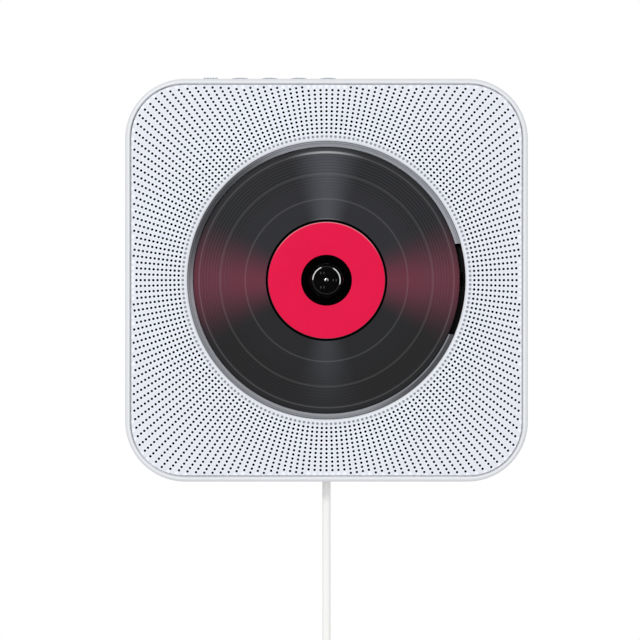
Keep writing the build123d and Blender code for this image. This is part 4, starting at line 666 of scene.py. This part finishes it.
def lead_sheath(name, tone):
    """The white sheath of the lead: smooth, slightly waxy."""
    finish = Finish(name, roughness=0.38, specular=0.35)
    finish.set("Base Color", finish.mottled(finish.noise(22.0), tone, 0.015))
    finish.bump(finish.noise(900.0), 0.006 * MM)
    return finish.material


# ---- mesh helpers ------------------------------------------------------------------------------------


def new_piece(name, mesh, material, body, slot, replaces=()):
    """Links a finished mesh as a piece that rides on a body, or leaves it unattached when no body is given.
    """
    piece = bpy.data.objects.new(name, mesh)
    bpy.context.scene.collection.objects.link(piece)
    mesh.materials.clear()
    mesh.materials.append(material)
    mesh.shade_smooth()
    mesh.set_sharp_from_angle(angle=SMOOTH_ANGLE)
    if body:
        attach(piece, body)
    if replaces:
        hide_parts(*replaces)
    return piece


def as_mesh(name, shape):
    """A mesh of a finished bmesh, which is freed."""
    mesh = bpy.data.meshes.new(name)
    shape.to_mesh(mesh)
    shape.free()
    return mesh


def lathe(name, profile, segments=256):
    """A closed ring turned about the disc's axis from (radius, depth) points in millimetres."""
    shape = bmesh.new()
    rings = []
    for radius, depth in profile:
        ring = []
        for place in range(segments):
            angle = FULL_TURN * place / segments
            point = (radius * MM * math.cos(angle), -depth * MM, radius * MM * math.sin(angle))
            ring.append(shape.verts.new(point))
        rings.append(ring)
    for first, second in zip(rings, rings[1:] + rings[:1]):
        for place in range(segments):
            after = (place + 1) % segments
            shape.faces.new((first[place], first[after], second[after], second[place]))
    bmesh.ops.recalc_face_normals(shape, faces=shape.faces)
    return as_mesh(name, shape)


def rounded(profile, radii, steps=5):
    """A (radius, depth) outline with some of its corners rounded."""
    out = []
    for place, corner in enumerate(profile):
        size = radii.get(place)
        if not size:
            out.append(corner)
            continue
        here = Vector(corner)
        before = (Vector(profile[place - 1]) - here).normalized()
        after = (Vector(profile[(place + 1) % len(profile)]) - here).normalized()
        half = before.angle(after) / 2
        reach = size / math.tan(half)
        middle = here + (before + after).normalized() * (size / math.sin(half))
        start = here + before * reach - middle
        end = here + after * reach - middle
        for step in range(steps + 1):
            turned = start.slerp(end, step / steps)
            out.append(tuple(middle + turned.normalized() * size))
    return out


def evaluated_mesh(piece):
    """A plain mesh of an object with its modifiers applied."""
    graph = bpy.context.evaluated_depsgraph_get()
    graph.update()
    return bpy.data.meshes.new_from_object(piece.evaluated_get(graph))


def merged_copy(node):
    """A CAD node's mesh as a bmesh whose loose triangles are joined."""
    shape = bmesh.new()
    shape.from_mesh(frame["nodes"][node].data)
    bmesh.ops.remove_doubles(shape, verts=shape.verts, dist=1e-6)
    bmesh.ops.dissolve_degenerate(shape, edges=shape.edges, dist=1e-7)
    return shape


def smoothed_node(node, material, slot, reshape=None):
    """A piece with a CAD node's own shape, smoothly shaded. A reshape takes a point and gives the
    place it moves to."""
    shape = merged_copy(node)
    if reshape:
        for point in shape.verts:
            point.co = reshape(point.co)
    body = frame["nodes"][node]["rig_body"]
    piece = new_piece(f"{node}_finished", as_mesh(node, shape), material, body, slot, (node,))
    even = piece.modifiers.new("even shading", "WEIGHTED_NORMAL")
    even.keep_sharp = True
    piece.data = evaluated_mesh(piece)
    piece.modifiers.clear()
    return piece


# ---- the camera and the lead come first --------------------------------------------------------------


class PLAYER_OT_camera(bpy.types.Operator):
    """Sets the camera in front of the player"""

    bl_idname = "player.camera"
    bl_label = "Set Camera"

    def execute(self, context):
        sizes = context.scene.stage_sizes
        lens = bpy.data.cameras.new("camera")
        lens.sensor_width = 36.0
        lens.lens = lens.sensor_width * sizes.distance / sizes.view_width
        lens.clip_end = 50.0
        camera = bpy.data.objects.new("camera", lens)
        camera.location = (sizes.aim[0], -FRONT_D - sizes.distance, sizes.aim[2])
        camera.rotation_euler = (math.pi / 2, 0, 0)
        context.scene.collection.objects.link(camera)
        context.scene.camera = camera
        return {"FINISHED"}


def hank_route(sizes, exit_z, drop_z, tail_z):
    """Control points of the lead: straight down from the case, through the hank's folds and its
    drawn-in waist, outwards in one layer and back in the next, and down again to the plug."""
    straight_run = 12 * MM
    turn_in = 4 * MM
    fold_gap = 5 * MM
    end_run = 9 * MM
    half_tie = 4.5 * MM
    eighth = math.tan(math.pi / 8)
    widest = sizes.fold + (sizes.turns - 1) * sizes.step
    run_top = drop_z - fold_gap - widest - sizes.diameter / 2
    run_end = run_top - sizes.run
    waist_z = (run_top + run_end) / 2
    outward = []
    for turn in range(sizes.turns):
        outward += [-turn * sizes.step, 2 * sizes.fold + turn * sizes.step]
    runs = outward + outward[-2::-1]
    folds = [abs(after - before) / 2 for before, after in zip(runs, runs[1:])]
    climbs = (0, len(outward) - 1, len(runs) - 1)
    layer = -CORD_DEPTH
    points = [(0, layer, exit_z), (0, layer, exit_z - straight_run)]
    points += [(0, layer, drop_z + straight_run), (0, layer, drop_z - turn_in)]
    for place, run_x in enumerate(runs):
        start, end = (run_top, run_end) if place % 2 == 0 else (run_end, run_top)
        along = -1 if place % 2 == 0 else 1
        above = layer + (sizes.layer if place in climbs else 0)
        drawn_in = sizes.waist if run_x < sizes.fold else -sizes.waist
        before = eighth * folds[place - 1] if place > 0 else end_run
        after = eighth * folds[place] if place < len(folds) else end_run
        near, far = start + along * before, end - along * after
        first, last = waist_z - along * half_tie, waist_z + along * half_tie
        for share, z in ((0, near), (0.5, (near + first) / 2), (1, first)):
            points.append((run_x + drawn_in * share, layer + (above - layer) / 2 * share, z))
        for share, z in ((1, last), (0.5, (last + far) / 2), (0, far)):
            points.append((run_x + drawn_in * share, above - (above - layer) / 2 * share, z))
        layer = above
        if place < len(folds):
            middle = (run_x + runs[place + 1]) / 2
            corner = math.hypot(1, eighth)
            for step in range(4):
                angle = math.pi / 8 + step * math.pi / 4
                across = (run_x - middle) * corner * math.cos(angle)
                beyond = along * folds[place] * corner * math.sin(angle)
                points.append((middle + across, layer, end + beyond))
    return points + [(0, layer, (run_end + tail_z) / 2), (0, layer, tail_z)]


class PLAYER_OT_lead(bpy.types.Operator):
    """Makes the hanging lead and its put-away hank as one smooth line"""

    bl_idname = "player.lead"
    bl_label = "Make Lead"

    def execute(self, context):
        sizes = context.scene.lead_sizes
        tie = soft_rubber("tie white", (0.75, 0.75, 0.76))
        moulding = lead_sheath("plug white", (0.84, 0.84, 0.83))
        steel = metal("plug steel", (0.6, 0.6, 0.61), 0.25)
        on_lead = [
            smoothed_node("cord_tie", tie, "tie_white"),
            smoothed_node("plug_body", moulding, "plug_white"),
            smoothed_node("plug_shell", steel, "shell_steel"),
        ]
        exit_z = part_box("cord")[1].z
        points = hank_route(sizes, exit_z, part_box("cord")[0].z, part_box("plug_body")[1].z)
        curve = bpy.data.curves.new("lead", "CURVE")
        curve.dimensions = "3D"
        curve.bevel_depth = sizes.diameter / 2
        curve.bevel_resolution = 6
        curve.use_fill_caps = True
        spline = curve.splines.new("NURBS")
        spline.points.add(len(points) - 1)
        for knot, point in zip(spline.points, points):
            knot.co = (*point, 1.0)
        spline.order_u = 3
        spline.use_endpoint_u = True
        spline.resolution_u = 8
        lead = bpy.data.objects.new("lead", curve)
        context.scene.collection.objects.link(lead)
        curve.materials.append(lead_sheath("lead white", (0.925, 0.925, 0.905)))
        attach(lead, "pull_cord")
        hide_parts("cord", "cord_hank")
        return {"FINISHED"}


# ---- the perforated panel ----------------------------------------------------------------------------


class Recipe(NodeTree):
    """A Geometry Nodes tree with a named input for each of its values."""

    KINDS = {int: "NodeSocketInt", float: "NodeSocketFloat", bpy.types.Material: "NodeSocketMaterial"}

    def __init__(self, name, values):
        super().__init__(bpy.data.node_groups.new(name, "GeometryNodeTree"))
        sockets = self.tree.interface
        sockets.new_socket("Geometry", in_out="OUTPUT", socket_type="NodeSocketGeometry")
        self.inputs = {}
        for label, value in values.items():
            socket = sockets.new_socket(label, in_out="INPUT", socket_type=self.KINDS[type(value)])
            self.inputs[socket.identifier] = value
        self.start = self.tree.nodes.new("NodeGroupInput")
        self.end = self.tree.nodes.new("NodeGroupOutput")

    def given(self, label):
        return Reading(self, self.start.outputs[label])

    def either(self, kind, takes_second, first, second):
        inputs = {0: takes_second, 1: first, 2: second}
        return self.node("GeometryNodeSwitch", {"input_type": kind}, inputs)

    def vector(self, x=0.0, y=0.0, z=0.0):
        return self.node("ShaderNodeCombineXYZ", None, {0: x, 1: y, 2: z})

    def around(self, radius, angle):
        """x and y of the point at a radius and an angle."""
        return radius * self.cosine(angle), radius * self.sine(angle)

    def turned(self, x, y, angle):
        """x and y of the point (x, y) turned about the middle."""
        cosine, sine = self.cosine(angle), self.sine(angle)
        return x * cosine - y * sine, x * sine + y * cosine

    def joined(self, *shapes):
        return self.node("GeometryNodeJoinGeometry", None, {0: list(shapes)})

    def copies(self, points, instance, rotation):
        """A shape set at each point and turned there."""
        inputs = {"Points": points, "Instance": instance, "Rotation": rotation}
        placed = self.node("GeometryNodeInstanceOnPoints", None, inputs)
        return self.node("GeometryNodeRealizeInstances", None, {0: placed})

    def filled(self, curves):
        return self.node("GeometryNodeFillCurve", {"mode": "TRIANGLES"}, {"Curve": curves})

    def moved(self, shape, drop):
        inputs = {"Geometry": shape, "Translation": self.vector(z=drop)}
        return self.node("GeometryNodeTransform", None, inputs)

    def walls(self, curves, drop):
        """The wall that runs down from each curve."""
        edges = self.node("GeometryNodeCurveToMesh", None, {"Curve": curves})
        inputs = {"Mesh": edges, "Offset": self.vector(z=drop), "Offset Scale": 1.0}
        return self.node("GeometryNodeExtrudeMesh", {"mode": "EDGES"}, inputs)

    def apply(self, name, shape, material):
        """Ends the tree, runs it on an empty mesh and returns the result as a plain mesh."""
        real = self.node("GeometryNodeRealizeInstances", None, {0: shape})
        inputs = {"Geometry": real, "Material": material}
        self.feed(self.end.inputs[0], self.node("GeometryNodeSetMaterial", None, inputs))
        holder = bpy.data.objects.new(name, bpy.data.meshes.new(name))
        bpy.context.scene.collection.objects.link(holder)
        modifier = holder.modifiers.new(name, "NODES")
        modifier.node_group = self.tree
        for identifier, value in self.inputs.items():
            modifier[identifier] = value
        mesh = evaluated_mesh(holder)
        bpy.data.objects.remove(holder)
        return mesh


def perforated_sheet(sizes, material):
    """A flat mesh made by Geometry Nodes: circles of holes round the well, kept inside a rounded
    square. One quarter is filled round its holes, four are set round the middle, and two rounded
    strips close the edge of the well and the outer edge. Its tree works in millimetres."""
    recipe = Recipe(
        "perforated panel",
        {
            "Spokes": sizes.spokes,
            "Rings": sizes.rings,
            "First Circle": sizes.first_ring / MM,
            "Circle Spacing": sizes.ring_step / MM,
            "Hole Radius": sizes.hole / MM,
            "Field Half": sizes.field_half / MM,
            "Field Corner": sizes.field_corner / MM,
            "Panel Half": sizes.half / MM,
            "Panel Corner": sizes.corner / MM,
            "Panel Edge": sizes.edge / MM,
            "Well": sizes.well / MM,
            "Lip": sizes.lip / MM,
            "Thickness": PANEL_T / MM,
            "Dimple": sizes.dimple / MM,
            "Material": material,
        },
    )
    given, calc, node, vector, either = recipe.given, recipe.calc, recipe.node, recipe.vector, recipe.either
    quarter = math.pi / 2
    corner_steps, well_steps, round_steps, hole_sides = 16, 64, 4, 8
    weld_gap = 0.002

    # the seam between two quarters runs half a step beside the first spoke
    index = node("GeometryNodeInputIndex")
    spoke_angle = FULL_TURN / given("Spokes")
    seam = spoke_angle * -0.5
    seam_x = given("Panel Half") * calc("TANGENT", spoke_angle * 0.5)
    side = given("Panel Half") - given("Panel Corner")

    def outline_point(step, radius):
        """A point of the quarter's outer edge: a corner arc, then the seam with the next quarter."""
        over, up = recipe.around(radius, step / float(corner_steps) * quarter)
        at_seam = step > corner_steps + 0.5
        over = either("FLOAT", at_seam, side + over, seam_x)
        return over, either("FLOAT", at_seam, side + up, side + radius)

    def well_point(step, radius):
        """A point of the well's edge, counted from the seam."""
        return recipe.around(radius, seam + step * (quarter / well_steps))

    def quarter_edge(radius, well):
        """The closed edge of one quarter: its outer edge and the well's arc."""
        count = corner_steps + well_steps + 4
        first = vector(*recipe.turned(seam_x, side + radius, -quarter))
        outer = vector(*outline_point(index - 1.0, radius))
        inner = vector(*well_point(float(count - 1) - index, well))
        where = either("VECTOR", index > 0.5, first, outer)
        where = either("VECTOR", index > corner_steps + 2.5, where, inner)
        edge = node("GeometryNodePoints", None, {"Count": count, "Position": where})
        line = node("GeometryNodePointsToCurves", None, {"Points": edge, "Weight": index})
        return node("GeometryNodeSetSplineCyclic", None, {"Geometry": line, "Cyclic": True})

    # one point for each hole of the quarter's polar pattern
    quarter_spokes = given("Spokes") / 4.0
    ring, spoke = calc("FLOOR", index / quarter_spokes), index % quarter_spokes
    radius = given("First Circle") + ring * given("Circle Spacing")
    where = vector(*recipe.around(radius, spoke * spoke_angle))
    count = quarter_spokes * given("Rings")
    points = node("GeometryNodePoints", None, {"Count": count, "Position": where})

    # points outside the rounded square go, and the innermost circle's become dimples
    position = node("GeometryNodeInputPosition")
    x, y, _ = recipe.separated(position)
    field_side = given("Field Half") - given("Field Corner")
    over, up = [calc("MAXIMUM", abs(part) - field_side, 0.0) for part in (x, y)]
    outside = recipe.hypotenuse(over, up) > given("Field Corner")
    kept = node("GeometryNodeDeleteGeometry", {"domain": "POINT"}, {0: points, 1: outside})
    limit = given("First Circle") + given("Circle Spacing") * 0.5
    inputs = {0: kept, 1: recipe.hypotenuse(x, y) > limit}
    split = recipe.readings("GeometryNodeSeparateGeometry", {"domain": "POINT"}, inputs)
    inputs = {"Resolution": hole_sides, "Radius": given("Hole Radius")}
    circle = node("GeometryNodeCurvePrimitiveCircle", {"mode": "RADIUS"}, inputs)
    facing = vector(z=index * GOLDEN_ANGLE)
    holes, dimples = [recipe.copies(places, circle, facing) for places in split.values()]

    # one quarter's front, back, hole walls and dimples, and four quarters round the middle
    through = given("Thickness") * -1.0
    shallow = given("Dimple") * -1.0
    front_edge = quarter_edge(given("Panel Corner") - given("Panel Edge"), given("Well") + given("Lip"))
    back_edge = quarter_edge(given("Panel Corner"), given("Well"))
    one_quarter = recipe.joined(
        recipe.filled(recipe.joined(front_edge, holes, dimples)),
        recipe.moved(recipe.filled(recipe.joined(back_edge, holes)), through),
        recipe.walls(holes, through),
        recipe.walls(dimples, shallow),
        recipe.moved(recipe.filled(dimples), shallow),
    )
    middle = node("GeometryNodePoints", None, {"Count": 4})
    sheet = recipe.copies(middle, one_quarter, vector(z=index * quarter))

    def strip(count, place_point, rounding):
        """A closed strip down an edge: a rounded shoulder and then straight to the back."""
        rows = round_steps + 2
        inputs = {"Size X": 1.0, "Size Y": 1.0, "Vertices X": count + 1, "Vertices Y": rows}
        grid = node("GeometryNodeMeshGrid", None, inputs)
        along, row = calc("FLOOR", index / float(rows)), index % float(rows)
        slope = calc("MINIMUM", row / float(round_steps), 1.0) * quarter
        over, up = place_point(along, rounding * (1.0 - recipe.sine(slope)))
        drop = rounding * (recipe.cosine(slope) - 1.0)
        drop = either("FLOAT", row > round_steps + 0.5, drop, through)
        return node("GeometryNodeSetPosition", None, {"Geometry": grid, "Position": vector(over, up, drop)})

    def on_well(along, inward):
        return well_point(along, given("Well") + inward)

    def on_outline(along, inward):
        places = corner_steps + 2.0
        over, up = outline_point(along % places, given("Panel Corner") - inward)
        return recipe.turned(over, up, calc("FLOOR", along / places) * quarter)

    lip = strip(4 * well_steps, on_well, given("Lip"))
    rim = strip(4 * (corner_steps + 2), on_outline, given("Panel Edge"))
    inputs = {"Geometry": recipe.joined(sheet, lip, rim), "Distance": weld_gap}
    welded = node("GeometryNodeMergeByDistance", None, inputs)
    in_metres = node("GeometryNodeTransform", None, {"Geometry": welded, "Scale": (MM, MM, MM)})
    return recipe.apply("perforated_panel", in_metres, given("Material"))


class PLAYER_OT_panel(bpy.types.Operator):
    """Makes the perforated front panel"""

    bl_idname = "player.panel"
    bl_label = "Make Perforated Panel"

    def execute(self, context):
        sizes = context.scene.panel_sizes
        material = perforated_plastic(sizes)
        shape = bmesh.new()
        shape.from_mesh(perforated_sheet(sizes, material))
        for point in shape.verts:
            flat_x, flat_y, height = point.co
            point.co = (flat_x, -FRONT_D - height, flat_y)
        bmesh.ops.recalc_face_normals(shape, faces=shape.faces)
        mesh = as_mesh("perforated_panel", shape)
        new_piece("perforated_panel", mesh, material, "player", "panel_white", ("grille_panel",))
        return {"FINISHED"}


# ---- the disc, its label and the hub -----------------------------------------------------------------


class PLAYER_OT_disc(bpy.types.Operator):
    """Makes the disc, its label and the matt rings beside the label"""

    bl_idname = "player.disc"
    bl_label = "Make Disc"

    def execute(self, context):
        sizes = context.scene.disc_sizes
        front, back = DISC_FRONT_D / MM, DISC_BACK_D / MM
        radius, hole = sizes.radius / MM, sizes.hole / MM
        inner, outer = sizes.label_inner / MM, sizes.label_outer / MM
        moat_start, moat_end, moat_floor = outer + 0.2, outer + 1.2, front - 0.15
        print_top, film = front + 0.09, 0.04
        outline = [
            (hole, back),
            (radius, back),
            (radius, front),
            (moat_end, front),
            (moat_end, moat_floor),
            (moat_start, moat_floor),
            (moat_start, front),
            (hole, front),
        ]
        mesh = lathe("pressed_disc", rounded(outline, {1: 0.25, 2: 0.35, 7: 0.2}), 320)
        new_piece("pressed_disc", mesh, pressed_disc(sizes), "disc", "disc_surface", ("disc",))
        label = [(inner, front), (outer, front), (outer, print_top), (inner, print_top)]
        mesh = lathe("red_label", rounded(label, {2: 0.06, 3: 0.06}))
        new_piece("red_label", mesh, label_print(sizes), "disc", "label_red", ("disc_label",))
        matt = satin_black("hub zone black", roughness=0.6, specular=0.0, level=0.0005)
        for name, low, high, foot in (
            ("black_hub_zone", hole + 0.15, inner, front),
            ("label_moat", outer + 0.1, outer + 1.15, moat_floor),
        ):
            ring = [(low, foot), (high, foot), (high, foot + film), (low, foot + film)]
            new_piece(name, lathe(name, rounded(ring, {2: 0.03})), matt, "disc", "disc_surface")
        return {"FINISHED"}


class PLAYER_OT_hub(bpy.types.Operator):
    """Makes the glossy hub that the disc is pressed on to"""

    bl_idname = "player.hub"
    bl_label = "Make Hub"

    def execute(self, context):
        top = -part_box("centring_hub")[0].y
        low, high = top / MM - 0.1, top / MM + 0.1
        ring = [(5.75, low), (6.3, low), (6.3, high), (5.75, high)]
        pin_radius, pin_rise = 0.8 * MM, 0.4
        shape = merged_copy("centring_hub")
        shape.from_mesh(lathe("hub_ring", rounded(ring, {2: 0.09, 3: 0.05}, 3), 192))
        for pin_x, pin_z in hub_pins():
            made = bmesh.ops.create_uvsphere(shape, u_segments=24, v_segments=16, radius=pin_radius)
            for point in made["verts"]:
                point.co = Vector((point.co.x + pin_x, point.co.y * pin_rise - top, point.co.z + pin_z))
        mesh = as_mesh("glossy_hub", shape)
        new_piece("glossy_hub", mesh, hub_gloss(), "turntable", "hub_black", ("centring_hub",))
        return {"FINISHED"}


# ---- every other CAD node keeps its shape and gets a finish ------------------------------------------


def nearer_wall(point):
    """Draws the foot of the well's sloping wall in to the disc's edge."""
    foot_r, top_r, new_foot_r = 60.5 * MM, 61.9 * MM, 60.15 * MM
    top_d, slack = FRONT_D - 0.5 * MM, 0.03 * MM
    radius, depth = math.hypot(point.x, point.z), -point.y
    if depth < DISC_BACK_D - 0.01 * MM:
        if abs(radius - foot_r) > slack:
            return point
        grow = new_foot_r / radius
        return Vector((point.x * grow, point.y, point.z * grow))
    share = (depth - DISC_BACK_D) / (top_d - DISC_BACK_D)
    if abs(radius - foot_r - (top_r - foot_r) * share) > slack:
        return point
    grow = (new_foot_r + (top_r - new_foot_r) * share) / radius
    return Vector((point.x * grow, -DISC_FRONT_D - (top_d - DISC_FRONT_D) * share, point.z * grow))


def fuller_cap(point):
    """Gives a push button's cap higher shoulders under its crown."""
    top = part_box("play_button")[1].z
    shoulder, higher = CASE_TOP + 0.15 * MM, CASE_TOP + 0.75 * MM
    if point.z < shoulder - 0.01 * MM:
        return point
    share = (point.z - shoulder) / (top - shoulder)
    return Vector((point.x, point.y, higher + (top - higher) * share))


def wider_knob(point):
    """Widens the slide knob's ridged top a little."""
    low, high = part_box("mode_knob")
    if point.z < CASE_TOP + 0.05 * MM:
        return point
    middle, wider = (low.x + high.x) / 2, 1.08
    return Vector((middle + (point.x - middle) * wider, point.y, point.z))


class PLAYER_OT_finishes(bpy.types.Operator):
    """Gives every other piece its finish"""

    bl_idname = "player.finishes"
    bl_label = "Finish Pieces"

    def execute(self, context):
        white = housing_plastic(context.scene.panel_sizes)
        button = moulded_plastic("button grey", (0.4, 0.425, 0.47), 0.42)
        natural = moulded_plastic("natural nylon", (0.72, 0.7, 0.64), 0.5)
        switch = moulded_plastic("switch white", (0.6, 0.6, 0.58), 0.5)
        screw = metal("plated screw", (0.52, 0.52, 0.53), 0.32)
        ground = metal("ground steel", (0.62, 0.62, 0.64), 0.14, streaks=(0.2, 6.0, 6.0))
        can = metal("plated can", (0.5, 0.5, 0.51), 0.3)
        pad = soft_rubber("pad rubber", (0.03, 0.03, 0.032))
        chip = satin_black("chip black", 0.5, 0.2)
        balls = ("chucking_ball_1", "chucking_ball_2", "chucking_ball_3")
        buttons = ("stop_button", "play_button", "previous_button", "next_button")
        reshapes = dict.fromkeys(buttons, fuller_cap) | {"disc_tray": nearer_wall, "mode_knob": wider_knob}
        for material, slot, nodes in (
            (white, "housing_white", ("front_shell", "back_cover")),
            (well_grey(), "tray_grey", ("disc_tray",)),
            (galvanised(), "galvanised_steel", ("wall_bracket",)),
            (satin_black("deck black"), "deck_black", ("deck_plate",)),
            (shaft_steel(), "ground_steel", ("spindle_shaft",)),
            (ground, "ground_steel", balls),
            (satin_black("platter black"), "platter_black", ("turntable",)),
            (satin_black("lens holder black"), "lens_black", ("lens_holder",)),
            (clear_glass(), "lens_glass", ("objective_lens",)),
            (satin_black("sled black"), "deck_black", ("pickup_sled",)),
            (button, "button_grey", (*buttons, "mode_knob")),
            (lead_sheath("grommet white", (0.82, 0.82, 0.81)), "cord_white", ("cord_grommet",)),
        ):
            for node in nodes:
                smoothed_node(node, material, slot, reshapes.get(node))
        mesh = as_mesh("return_spring", merged_copy("pull_spring"))
        spring = new_piece("return_spring", mesh, ground, None, "spring_steel", ("pull_spring",))
        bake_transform(spring)
        for material, nodes in (
            (woven_cloth(), ("grille_scrim",)),
            (screw, ("case_screws", "damper_screws", "board_screws", "key_board_screws")),
            (pad, ("wall_pads", "deck_dampers")),
            (ground, ("guide_rods", "gear_pin")),
            (can, ("spindle_motor", "sled_motor", "slide_switch")),
            (natural, ("sled_rack", "drive_gear", "motor_pinion")),
            (metal("diode brass", (0.6, 0.42, 0.16), 0.3), ("laser_diode",)),
            (circuit_board("main board green", 2), ("main_board",)),
            (circuit_board("key board green", 1), ("key_board",)),
            (chip, ("board_chips", "tact_switches")),
            (metal("capacitor sleeve", (0.4, 0.42, 0.45), 0.35), ("board_capacitors",)),
            (satin_black("basket black", 0.45, 0.3), ("speaker_baskets",)),
            (metal("magnet iron", (0.06, 0.06, 0.065), 0.55, blotches=0.1), ("speaker_magnets",)),
            (soft_rubber("surround rubber", (0.015, 0.015, 0.016)), ("speaker_surrounds",)),
            (pressed_paper(), ("speaker_cone_left", "speaker_cone_right")),
            (switch, ("pull_switch_housing", "pull_plunger", "plug_tongue")),
            (lead_sheath("stub white", (0.86, 0.86, 0.845)), ("cord_stub",)),
        ):
            for node in nodes:
                slots = frame["nodes"][node].data.materials
                slots.clear()
                slots.append(material)
        return {"FINISHED"}


# ---- the stage ---------------------------------------------------------------------------------------


def seen_directly(tree):
    """1 for camera, mirror and glass rays, 0 for the rays that light a surface."""
    rays = tree.readings("ShaderNodeLightPath")
    total = rays["Is Camera Ray"]
    for name in ("Is Glossy Ray", "Is Transmission Ray"):
        total = tree.calc("MAXIMUM", total, rays[name])
    return total


def softbox(name, place, width, height, power):
    """A rectangular lamp that faces the middle of the disc."""
    lamp = bpy.data.lights.new(name, "AREA")
    lamp.shape = "RECTANGLE"
    lamp.size, lamp.size_y = width, height
    lamp.energy = power
    stand = bpy.data.objects.new(name, lamp)
    stand.location = place
    stand.rotation_euler = (-Vector(place)).to_track_quat("-Z", "Y").to_euler()
    bpy.context.scene.collection.objects.link(stand)


class PLAYER_OT_stage(bpy.types.Operator):
    """Makes the floor, the even light and the lamps"""

    bl_idname = "player.stage"
    bl_label = "Make Stage"

    def execute(self, context):
        sizes = context.scene.stage_sizes
        reach, floor_z = 1.4, CAD_LOW.z - 20 * MM
        sides = ((-1, -1), (1, -1), (1, 1), (-1, 1))
        mesh = bpy.data.meshes.new("floor")
        mesh.from_pydata([(x * reach, y * reach, floor_z) for x, y in sides], [], [(0, 1, 2, 3)])
        floor = bpy.data.objects.new("floor", mesh)
        context.scene.collection.objects.link(floor)
        paint = Finish("floor white", roughness=0.9, specular=0.1)
        paint.set("Base Color", paint.blend(paint.noise(3.0), grey(0.86), grey(0.9)))
        mesh.materials.append(paint.material)

        world = bpy.data.worlds.new("even light")
        context.scene.world = world
        world.use_nodes = True
        tree = NodeTree(world.node_tree)
        white = (1.0, 1.0, 1.0, 1.0)
        lit = tree.node("ShaderNodeBackground", None, {"Color": white, "Strength": sizes.room_light})
        seen = tree.node("ShaderNodeBackground", None, {"Color": white})
        light = tree.node("ShaderNodeMixShader", None, {0: seen_directly(tree), 1: lit, 2: seen})
        tree.readings("ShaderNodeOutputWorld", None, {"Surface": light})

        fill_share = 0.3
        softbox("key", (-0.9, -2.2, 0.85), 0.5, 0.4, sizes.key_power)
        softbox("fill", (1.4, -2.1, 0.2), 0.5, 0.9, sizes.key_power * fill_share)
        context.scene.view_settings.view_transform = "Standard"
        return {"FINISHED"}


class PLAYER_PT_sidebar(bpy.types.Panel):
    """Lists the steps that build the player"""

    bl_idname = "PLAYER_PT_sidebar"
    bl_label = "Disc Player"
    bl_space_type = "VIEW_3D"
    bl_region_type = "UI"
    bl_category = "Disc Player"

    def draw(self, context):
        for step in STEPS:
            self.layout.operator(step.bl_idname)


STEPS = (
    PLAYER_OT_camera,
    PLAYER_OT_lead,
    PLAYER_OT_panel,
    PLAYER_OT_disc,
    PLAYER_OT_hub,
    PLAYER_OT_finishes,
    PLAYER_OT_stage,
)
GROUPS = {
    "panel_sizes": PanelSizes,
    "disc_sizes": DiscSizes,
    "lead_sizes": LeadSizes,
    "stage_sizes": StageSizes,
}


def register():
    for group in GROUPS.values():
        bpy.utils.register_class(group)
    for name, group in GROUPS.items():
        setattr(bpy.types.Scene, name, PointerProperty(type=group))
    for step in STEPS:
        bpy.utils.register_class(step)
    bpy.utils.register_class(PLAYER_PT_sidebar)


def unregister():
    bpy.utils.unregister_class(PLAYER_PT_sidebar)
    for step in reversed(STEPS):
        bpy.utils.unregister_class(step)
    for name, group in reversed(GROUPS.items()):
        delattr(bpy.types.Scene, name)
        bpy.utils.unregister_class(group)


def main():
    register()
    bpy.ops.player.camera()
    bpy.ops.player.lead()
    bpy.ops.player.panel()
    bpy.ops.player.disc()
    bpy.ops.player.hub()
    bpy.ops.player.finishes()
    bpy.ops.player.stage()


if __name__ == "__main__":
    main()
